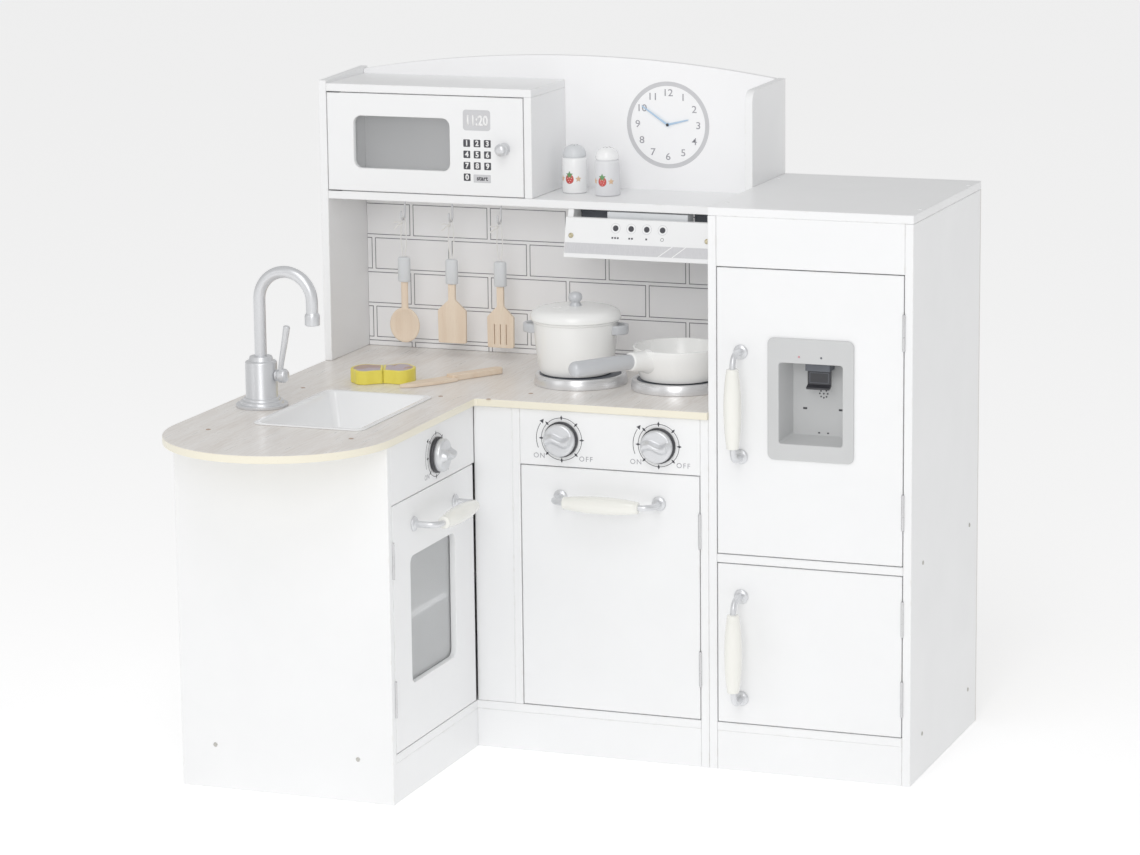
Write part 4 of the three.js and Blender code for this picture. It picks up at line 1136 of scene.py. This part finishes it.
def build_upper_boards():
    plain_boards("upper_shelf")
    _, (y0, y1), (z0, z1) = span("tall_side_left")
    end_board("tall_side_left", [(y0, z0, 1), (y1, z0, 1), (y1, z1, 1), (y0, z1 - 6, 1)])
    _, (y0, y1), (z0, z1) = span("shelf_end_right")
    end_board("shelf_end_right", [(y0, z0, 1), (y1, z0, 1), (y1, z1, 1), (y0, z1 - 2, 18)])
    (x0, x1), (y0, y1), (z0, z1) = span("back_wall")
    s = np.linspace(1, 0, 60)
    left, right = 952.0, 955.5
    pull = 2 * z1 - (left + right) / 2
    crown = np.stack([x0 + (x1 - x0) * s,
                      (1 - s) ** 2 * left + 2 * s * (1 - s) * pull + s ** 2 * right], 1)
    wall = plain_loop(np.concatenate([[(x0, z0), (x1, z0)], crown]))
    piece("back_wall_board", upright(slab(wall, y0, y1, 0.9, margin=1.0)), tiled_paint,
          "cabinet", "back_wall")


def build_microwave():
    (x0, x1), (y0, y1), (z0, z1) = span("microwave_case")
    boards("microwave_case_boards", [
        block([x0, x1], [y0, y1], [z1 - BOARD, z1]),
        block([x1 - BOARD, x1], [y0 + 0.05, y1], [z0, z1 - BOARD - 0.05])], "microwave_case")
    front = y0
    (x0, x1), (_, y1), (z0, z1) = span("microwave_door")
    window = rectangle(-628, -472.5, 819, 898, 12, hole=True)
    piece("microwave_door_panel", upright(slab(rectangle(x0, x1, z0, z1, 1), front, front + 9,
                                               0.9, [window])), white_paint,
          "microwave_door_body", "microwave_door")
    (x0, x1), (y0, y1), (z0, z1) = span("microwave_window")
    piece("microwave_window_pane", upright(slab(rectangle(x0, x1, z0, z1, 2), y0, y1, 0.3,
                                                margin=0.4)), pane, "microwave_door_body",
          "microwave_window")
    ball = revolve([(0, 0), (8.6, 0), (9.2, 0.6), (9.2, 1.8), (8.2, 3.4), (6.2, 5.2), (6.0, 6.4),
                    (7.6, 8.0), (9.0, 10.4), (9.7, 13.4), (9.4, 16.4), (8.0, 19.2), (5.4, 21.2),
                    (2.6, 21.9), (0, 22)], 56)
    piece("microwave_ball_knob", moved(turned(ball, "X", 90), (-385, front, 856)), silver,
          "microwave_door_body")
    plate = lambda z: block([-670, -650], [front - 0.4, front + 8], [z, z + 1.1], 0.3)
    piece("microwave_pivots", [plate(931.7), plate(783.4)], black_plastic)
    face = lambda shape: moved(shape, (0, front, 0))
    keys = [(-450.6 + 16.5 * (n % 3), 868.2 - 16.8 * (n // 3), str(n + 1)) for n in range(9)]
    keys.append((-450.6, 817.3, "0"))
    wide, high, body = 11.0, 11.2, "microwave_door_body"
    panels = [decal(rectangle(x, x + wide, z - high, z, 1.2)) for x, z, _ in keys]
    start_key = decal(rectangle(-434.9, -407.2, 804.1, 816.3, 1.2))
    display = decal(rectangle(-450.6, -406.9, 881.6, 912.4, 4.5))
    piece("microwave_keys", [face(p) for p in panels], black_ink, body)
    piece("microwave_display", [face(start_key), face(display)], grey_ink, body)
    signs = [lettering(text, 11, x + wide / 2, z - high / 2 - 0.2, bold=0.035)
             for x, z, text in keys]
    signs.append(lettering("11:20", 21, -428.8, 896, 0.78, 0.03))
    word = lettering("start", 9.5, -421, 810.6, 1.0, 0.03)
    on_key = lambda shape: moved(face(shape), (0, -0.09, 0))
    piece("microwave_figures", [on_key(sign) for sign in signs], white_ink, body)
    piece("microwave_start", on_key(word), black_ink, body)


def build_hood():
    (x0, x1), _, (_, under) = span("hood")
    board = outline([(183, 702, 0.8), (192, 702, 0.8), (204, 760, 0.8), (195, 760, 0.8)],
                    steps=3, margin=0.6)
    cheek = outline([(190, 704, 0.8), (300, 745, 0.8), (300, under, 0.8), (206, under, 0.8),
                     (201, 755, 0.8)], steps=3, margin=0.6)
    parts = [sideways(slab(board, x0, x1, 0.8, margin=0.6)),
             sideways(slab(cheek, x0, x0 + 9, 0.8, margin=0.6)),
             sideways(slab(cheek, x1 - 9, x1, 0.8, margin=0.6))]
    boards("hood_boards", parts, "hood")
    back, rise, foot = 12, 58, 702
    tilt = math.degrees(math.atan2(back, rise))
    lean = lambda shape: turned(moved(shape, (0, 183, 0)), "X", -tilt, (0, 183, foot))
    length = math.hypot(back, rise)
    up = lambda z: foot + (z - foot) * length / rise
    piece("hood_module", block([-225, -100], [206, 232], [725, under - 2], 1.0), pearl_grey,
          "cabinet", "hood")
    piece("hood_band", lean(decal(rectangle(x0 + 0.9, x1 - 0.9, up(708.6), up(724), 0.3))),
          brushed_band)
    strokes = [[(-116.8, 724), (-118.6, 724), (-139.8, 708.6), (-138, 708.6)],
               [(-96.2, 724), (-98, 724), (-118.2, 708.6), (-116.4, 708.6)]]
    piece("hood_strokes", [moved(lean(decal(plain_loop([(x, up(z)) for x, z in stroke]))),
                                 (0, -0.06, 0)) for stroke in strokes], white_ink)
    marks, rings = [], []
    dots = (-206.9, -182.8, -158.6, -134.1)
    for x in dots:
        marks.append(decal(circle(4.35, x, up(747), 36)))
        rings.append(decal(circle(7.5, x, up(747), 48),
                           [circle(7.0, x, up(747), 48, hole=True)]))
    for x, count in zip(dots, (3, 2, 1)):
        for k in range(count):
            u = x + (k - (count - 1) / 2) * 4.2
            marks.append(decal(rectangle(u - 1.4, u + 1.4, up(731.8), up(734.4), 0.2)))
    marks.append(decal(circle(2.6, dots[3], up(733.4), 28),
                       [circle(2.0, dots[3], up(733.4), 28, hole=True)]))
    piece("hood_marks", [lean(m) for m in marks], black_ink)
    piece("hood_rings", [lean(m) for m in rings], grey_ink)
    # Painted shade: two dark panels beside the module stand for the shadow inside the hood.
    piece("hood_painted_shade_panels", [block([x0 + 9.2, -225.2], [236, 240], [742, under - 1], 0.6),
                              block([-99.8, x1 - 9.2], [236, 240], [742, under - 1], 0.6)],
          dark_shell)
    heads = [lean(moved(turned(cross_head(3.9, 1.5), "X", 90), (x, 0, up(734))))
             for x in (x0 + 10, x1 - 11)]
    piece("hood_screws", heads, brass)


def build_clock():
    y = span("back_wall")[1][0]
    cx, cz = -178.7, 881.4
    pin_x, pin_z = cx + 0.2, cz + 0.6
    face = lambda shape: moved(shape, (cx, y, cz))
    ring = decal(circle(65, count=128), [circle(58.5, count=128, hole=True)])
    piece("clock_ring", face(ring), grey_ink)
    numbers = []
    for hour in range(1, 13):
        a = math.radians(90 - 30 * hour)
        numbers.append(lettering(str(hour), 15, 47.8 * math.cos(a), 47.8 * math.sin(a), 1.12,
                                 0.004))
    piece("clock_numbers", [face(n) for n in numbers], text_ink)
    for name, length, width, depth, turn_by in (("hour_hand", 36, 3.2, 1.8, 76),
                                                ("minute_hand", 52, 3.0, 3.6, -56)):
        hand = outline([(-width / 2, -1, 0.6), (width / 2, -1, 0.6),
                        (width / 3.4, length - 5, 1.4), (0, length, 0.6),
                        (-width / 3.4, length - 5, 1.4)], steps=4, margin=0.3)
        blade = upright(slab(hand, 0, 1.3, 0.3, margin=0.3))
        disc = turned(revolve([(0, 0), (2.6, 0), (2.6, 1.1), (2.3, 1.35), (0, 1.4)], 32),
                      "X", 90)
        shapes = [moved(turned(blade, "Y", turn_by), (pin_x, y - depth, pin_z)),
                  moved(disc, (pin_x, y - depth + 1.4, pin_z))]
        piece("clock_%s_blade" % name, shapes, light_blue, name + "_body", "clock_" + name)
    hub = turned(revolve([(0, 0), (2.3, 0), (2.3, 0.6), (1.4, 1.1), (0, 1.2)], 24), "X", 90)
    piece("clock_hub", moved(hub, (pin_x, y - 3.6, pin_z)), black_plastic)


# ---- hooks, utensils and loose things -----------------------------------------------------

HOOK_X = (-579.0, -501.0, -422.0)


def build_hooks():
    for number, x in enumerate(HOOK_X, 1):
        arc = np.radians(np.linspace(0, -180, 20))
        path = np.array([(x, 279, 770.6), (x, 279, 747.8),
                         *np.stack([x + 0 * arc, 272 + 7 * np.cos(arc), 739.8
                                    + 7 * np.sin(arc)], 1), (x, 265, 745.8)])
        piece("hook_%d_wire" % number, sweep(even(path, 50), 1.5, 16), silver,
              "cabinet", "hook_%d" % number)


def build_utensils():
    names = ("spoon", "spatula", "slotted_spatula")
    for number, (name, x) in enumerate(zip(names, HOOK_X), 1):
        body = name + "_body"
        if name == "spoon":
            t = np.linspace(0, 2 * np.pi, 64, endpoint=False)
            rim = np.stack([24.5 * np.cos(t), 571 + 27 * np.sin(t)], 1)
            rows = [(0, 0.6), (0.3, 0.2), (0.6, -0.9), (0.82, -2.3), (0.9, -3.0), (0.96, -3.0),
                    (0.99, -2.5), (1, -1.6), (0.985, -0.2), (0.93, 1.2), (0.8, 2.4), (0.5, 3),
                    (0, 3)]
            head = shrunk(rim, (0, 571.0), rows)
            stem = sweep(curve_through([(0, 0, 594.5), (0, 0, 600), (0, 0, 615), (0, 0, 645)], 30),
                         np.interp(np.linspace(0, 1, 30), [0, 0.12, 0.35, 1],
                                   [3.2, 3.3, 3.2, 3.2]), 24, 1.75, up=(0, 1, 0))
            shapes = [head, stem]
        else:
            wide, foot, high = (22.5, 547, 613) if name == "spatula" else (21, 544, 607)
            paddle = outline([(-wide, foot, 3), (wide, foot, 3), (wide + 0.5, high - 16, 5),
                              (5.5, high, 4), (5.5, 645, 0.5), (-5.5, 645, 0.5),
                              (-5.5, high, 4), (-wide - 0.5, high - 16, 5)], steps=6,
                             margin=0.4)
            slits = [rectangle(s - 0.7, s + 0.7, 549, 580, 0.65, hole=True)
                     for s in (-9.5, 0, 9.5)] if "slotted" in name else []
            shapes = [upright(slab(paddle, -3, 3, 0.85, slits, 0.4))]
        piece(name + "_wood", [moved(s, (x, 272, 0)) for s in shapes], beech_upright, body,
              name)
        cap, none, edge = revolve([(0, 637.5), (8.0, 637.5), (9.4, 638.1), (10, 639.6),
                                   (10, 672.6), (9.2, 674.6), (7.4, 675.5), (0, 675.6)], 56)
        cap = (cap * [1, 0.62, 1], none, edge)
        piece(name + "_cap", moved(cap, (x, 272, 0)), pearl_grey, body)
        loop = np.array([(-1.6, 676.6), (-4.4, 700), (-3.4, 724), (-3, 731.5), (-2, 734.6),
                         (0, 735.8), (2, 734.6), (3, 731.5), (3.4, 724), (4.4, 700),
                         (1.6, 676.6)])
        line = even(curve_through(np.stack([x + loop[:, 0], 272 + 0 * loop[:, 0], loop[:, 1]],
                                           1), 200), 260)
        tie = curve_through([(x - 14, 270, 719.6), (x - 8, 270.5, 724.6), (x - 4.4, 270.4, 727),
                             (x - 2.2, 271.6, 728.6), (x - 2.6, 273.6, 727),
                             (x - 4.6, 273.4, 725.6), (x - 5, 270.8, 727.4),
                             (x - 9, 269.6, 729.4), (x - 13, 269, 728.4)], 60)
        knot = piece("string_knot_%d" % number, sweep(tie, 1.15, 14, ply=3), cotton, body)
        thread = piece("string_%d_thread" % number, sweep(line, 0.8, 18, ply=3), cotton, body,
                       "string_%d" % number)


def build_loose_pieces():
    for name, slot, material, dome_material in (
            ("salt", "shaker_white", sink_white, pearl_grey),
            ("pepper", "shaker_grey", pale_grey, sink_white)):
        node_name, body = name + "_shaker", name + "_body"
        centre = (*middle(node_name)[:2], span(node_name)[2][0])
        can = revolve([(0, 0), (17.2, 0), (18.3, 0.6), (18.8, 1.8), (18.8, 49.4), (18.2, 51.2),
                       (16.4, 53), (0, 53.2)], 72)
        dome = revolve([(0, 53), (16.2, 53), (17.3, 54.4), (17.6, 57), (17.0, 60.4),
                        (15.4, 64.4), (12.4, 68), (8.4, 70.4), (4, 71.4), (0, 71.5)], 72)
        piece(name + "_can", moved(can, centre), material, body, node_name)
        piece(name + "_dome", moved(dome, centre), dome_material, body)
        t = np.linspace(0, 2 * np.pi, 40, endpoint=False)
        berry = np.stack([-6.4 * np.sin(t) * (1 + 0.22 * np.cos(t)),
                          21 + 7.2 * np.cos(t) + 0.9 * np.cos(2 * t)], 1)
        leaves = moved(badge(star(5.8, 2.8, 0, 28.2)[0], (0, 28.2)), (0, -0.12, 0))
        blossoms = [badge(star(5.0, 2.5, u, 22)[0], (u, 22)) for u in (-13.5, 13.5)]
        seeds = [moved(decal(circle(0.45, u, v, 10)), (0, -0.14, 0)) for u, v in
                 ((-3, 23), (0.2, 24), (3.2, 23), (-1.6, 20), (1.8, 20), (0, 17))]
        bend = lambda shape: wrapped(shape, 18.8, centre, -94)
        piece(name + "_berry", bend(badge(berry, (0, 21))), red_ink, body)
        piece(name + "_leaves", bend(leaves), green_ink, body)
        piece(name + "_blossoms", [bend(s) for s in blossoms], tan_ink, body)
        piece(name + "_seeds", [bend(s) for s in seeds], white_ink, body)
        holes = [(math.cos(k * 1.257) * 5, math.sin(k * 1.257) * 5) for k in range(5)]
        caps = [moved(revolve([(0, 69.9), (0.9, 69.9), (0.9, 71.4), (0, 71.45)], 12),
                      (centre[0] + u, centre[1] + v, centre[2])) for u, v in holes]
        piece(name + "_holes", caps, black_plastic, body)
    ground = span("worktop")[2][1] + 0.3
    blade = outline([(0, 1, 2), (16, -11, 24), (60, -16, 30), (98, -14, 4), (100, -8, 3),
                     (182, -7, 6), (188, 0, 5), (182, 8, 6), (98, 7, 4), (94, 12, 3),
                     (44, 12, 40)], steps=6, margin=0.5)
    lay_down = lambda shape: moved(turned(shape, "Z", 58), (-488, 31, ground))
    piece("toy_knife_wood", lay_down(slab(blade, 0, 5, 1.0, margin=0.5)), beech_lying,
          "knife_body", "toy_knife")
    grip = outline([(92, -9.4, 3), (182, -8.4, 6), (189.2, 0, 5), (182, 9.2, 6), (92, 9.6, 3)],
                   steps=6, margin=0.4)
    piece("toy_knife_grip", lay_down(slab(grip, -0.15, 9, 1.8, margin=0.4)), beech_lying,
          "knife_body")
    lobe = np.array([(0.4, -26), (14, -29), (26, -36), (40, -33), (50, -20), (55, -8),
                     (55.5, 8), (50, 18), (45, 30), (30, 36), (16, 30), (0.4, 27)])
    smooth = curve_through(np.stack([lobe[:, 0], lobe[:, 1], 0 * lobe[:, 0]], 1), 44)[:, :2]
    half = plain_loop(smooth * 0.86)
    patch = plain_loop((smooth * 0.86 - [22, 0]) * 0.84 + [22, 0])
    top_print = moved(slab(patch, 0, 0.08, 0.015, margin=0.02, steps=1), (0, 0, 20.02))
    for name, turn_by in (("right", 22), ("left", 202)):
        body = "food_%s_body" % name
        place_it = lambda shape: moved(turned(shape, "Z", turn_by), (-532, 77, ground))
        piece("food_%s_wood" % name, place_it(slab(half, 0, 20, 1.0, margin=0.4)), yellow, body,
              "toy_food_" + name)
        piece("food_%s_print" % name, place_it(top_print), food_print, body)


# ---- screws and hinges ------------------------------------------------------------------------

def cross_head(radius, height):
    """A round screw head with a dished middle."""
    return revolve([(0, 0), (radius, 0), (radius, height * 0.3), (radius * 0.7, height * 0.9),
                    (radius * 0.4, height), (radius * 0.3, height * 0.7), (0, height * 0.5)], 28)


def build_screws():
    out = cross_head(3.2, 1.2)
    front = span("wing_end_panel")[1][0]
    zinc_ones = [moved(turned(out, "X", 90), (x, front, z))
                 for x, z in ((-632.1, 63.5), (-411.8, 62.2))]
    right = span("fridge_side_right")[0][1]
    zinc_ones += [moved(turned(out, "Y", 90), (right, y, z))
                  for y, z in ((60, 312), (313, 311), (61.5, 62), (313, 61))]
    left = span("tall_side_left")[0][0]
    zinc_ones.append(moved(turned(out, "Y", -90), (left, 270, 610)))
    piece("side_screws", zinc_ones, zinc)
    top = span("worktop")[2][1]
    caps = [moved(cross_head(3.6, 0.5), (x, y, top)) for x, y in
            ((-623, -325), (-624, -7), (-407, -323), (-406, -6), (-332, -5), (-289, 53))]
    piece("worktop_screws", caps, brown_cap)
    top = span("fridge_top")[2][1]
    caps = [moved(revolve([(0, 0), (3.7, 0), (3.7, 0.25), (3, 0.7), (0, 0.9)], 28), (x, y, top))
            for x, y in ((7, 306), (292, 311), (291, 58), (13, 47))]
    piece("fridge_top_caps", caps, sink_white)


def build_hinges():
    """Knuckled barrels: five turned sections with a groove between them."""
    radius, length = 2.2, 52.0
    s = np.linspace(0, length, 53)
    groove = np.where((s / length * 5) % 1 < 0.03, 0.25, 0.0)
    rows = [(0, 0), (radius * 0.7, 0)] + [(radius - g, v) for v, g in zip(s, groove)]
    rows += [(radius * 0.7, length), (0, length)]
    barrel = revolve(rows, 24)
    for name, x, y, bottoms in (("fridge_hinges", 285.3, -0.5, (624, 370, 217, 101)),
                                ("stove_hinges", -13, -0.5, (322, 120)),
                                ("wing_hinges", -357.5, -301.3, (322, 124))):
        piece(name, [moved(barrel, (x, y, z)) for z in bottoms], bright_steel)


# ---- light and floor --------------------------------------------------------------------------

def add_light(name, location, target, size, power):
    data = bpy.data.lights.new(name, "AREA")
    data.shape, data.size, data.energy = "DISK", size, power
    lamp = bpy.data.objects.new(name, data)
    bpy.context.scene.collection.objects.link(lamp)
    lamp.location = location
    toward = Vector(target) - Vector(location)
    lamp.rotation_euler = toward.to_track_quat("-Z", "Y").to_euler()


def build_stage():
    mesh = bpy.data.meshes.new("pale_floor")
    mesh.from_pydata([(-30, -30, -0.0005), (30, -30, -0.0005), (30, 30, -0.0005),
                      (-30, 30, -0.0005)], [], [(0, 1, 2, 3)])
    mesh.materials.append(floor_white)
    floor = bpy.data.objects.new("pale_floor", mesh)
    bpy.context.scene.collection.objects.link(floor)
    world = bpy.data.worlds.new("studio")
    world.use_nodes = True
    sky = world.node_tree.nodes["Background"].inputs
    sky["Color"].default_value = (1, 1, 1, 1)
    sky["Strength"].default_value = 0.54
    bpy.context.scene.world = world
    add_light("key", (0.9, -4.2, 2.3), (0, 0, 0.5), 2.0, 40)
    add_light("fill", (-2.8, -3.2, 2.0), (0, 0, 0.5), 2.0, 8)
    add_light("above", (0.4, -2.2, 3.4), (0, 0.1, 0.6), 1.8, 22)
    bpy.context.scene.view_settings.view_transform = "Standard"
    bpy.context.scene.view_settings.gamma = 1.15


floor_white = coated("studio_floor", (0.88, 0.88, 0.88), 0.9, 0.01, 40.0, 1e-6,
                     emission_color=(1, 1, 1, 1), emission_strength=0.36)

add_camera()
for build in (build_utensils, build_fridge, build_lower_boards, build_worktop, build_doors,
              build_handles, build_knobs, build_dispenser, build_faucet):
    build()
burner("burner_left")
burner("burner_right")
for build in (build_pans, build_upper_boards, build_microwave, build_hood, build_clock,
              build_hooks, build_loose_pieces, build_screws, build_hinges, build_stage):
    build()
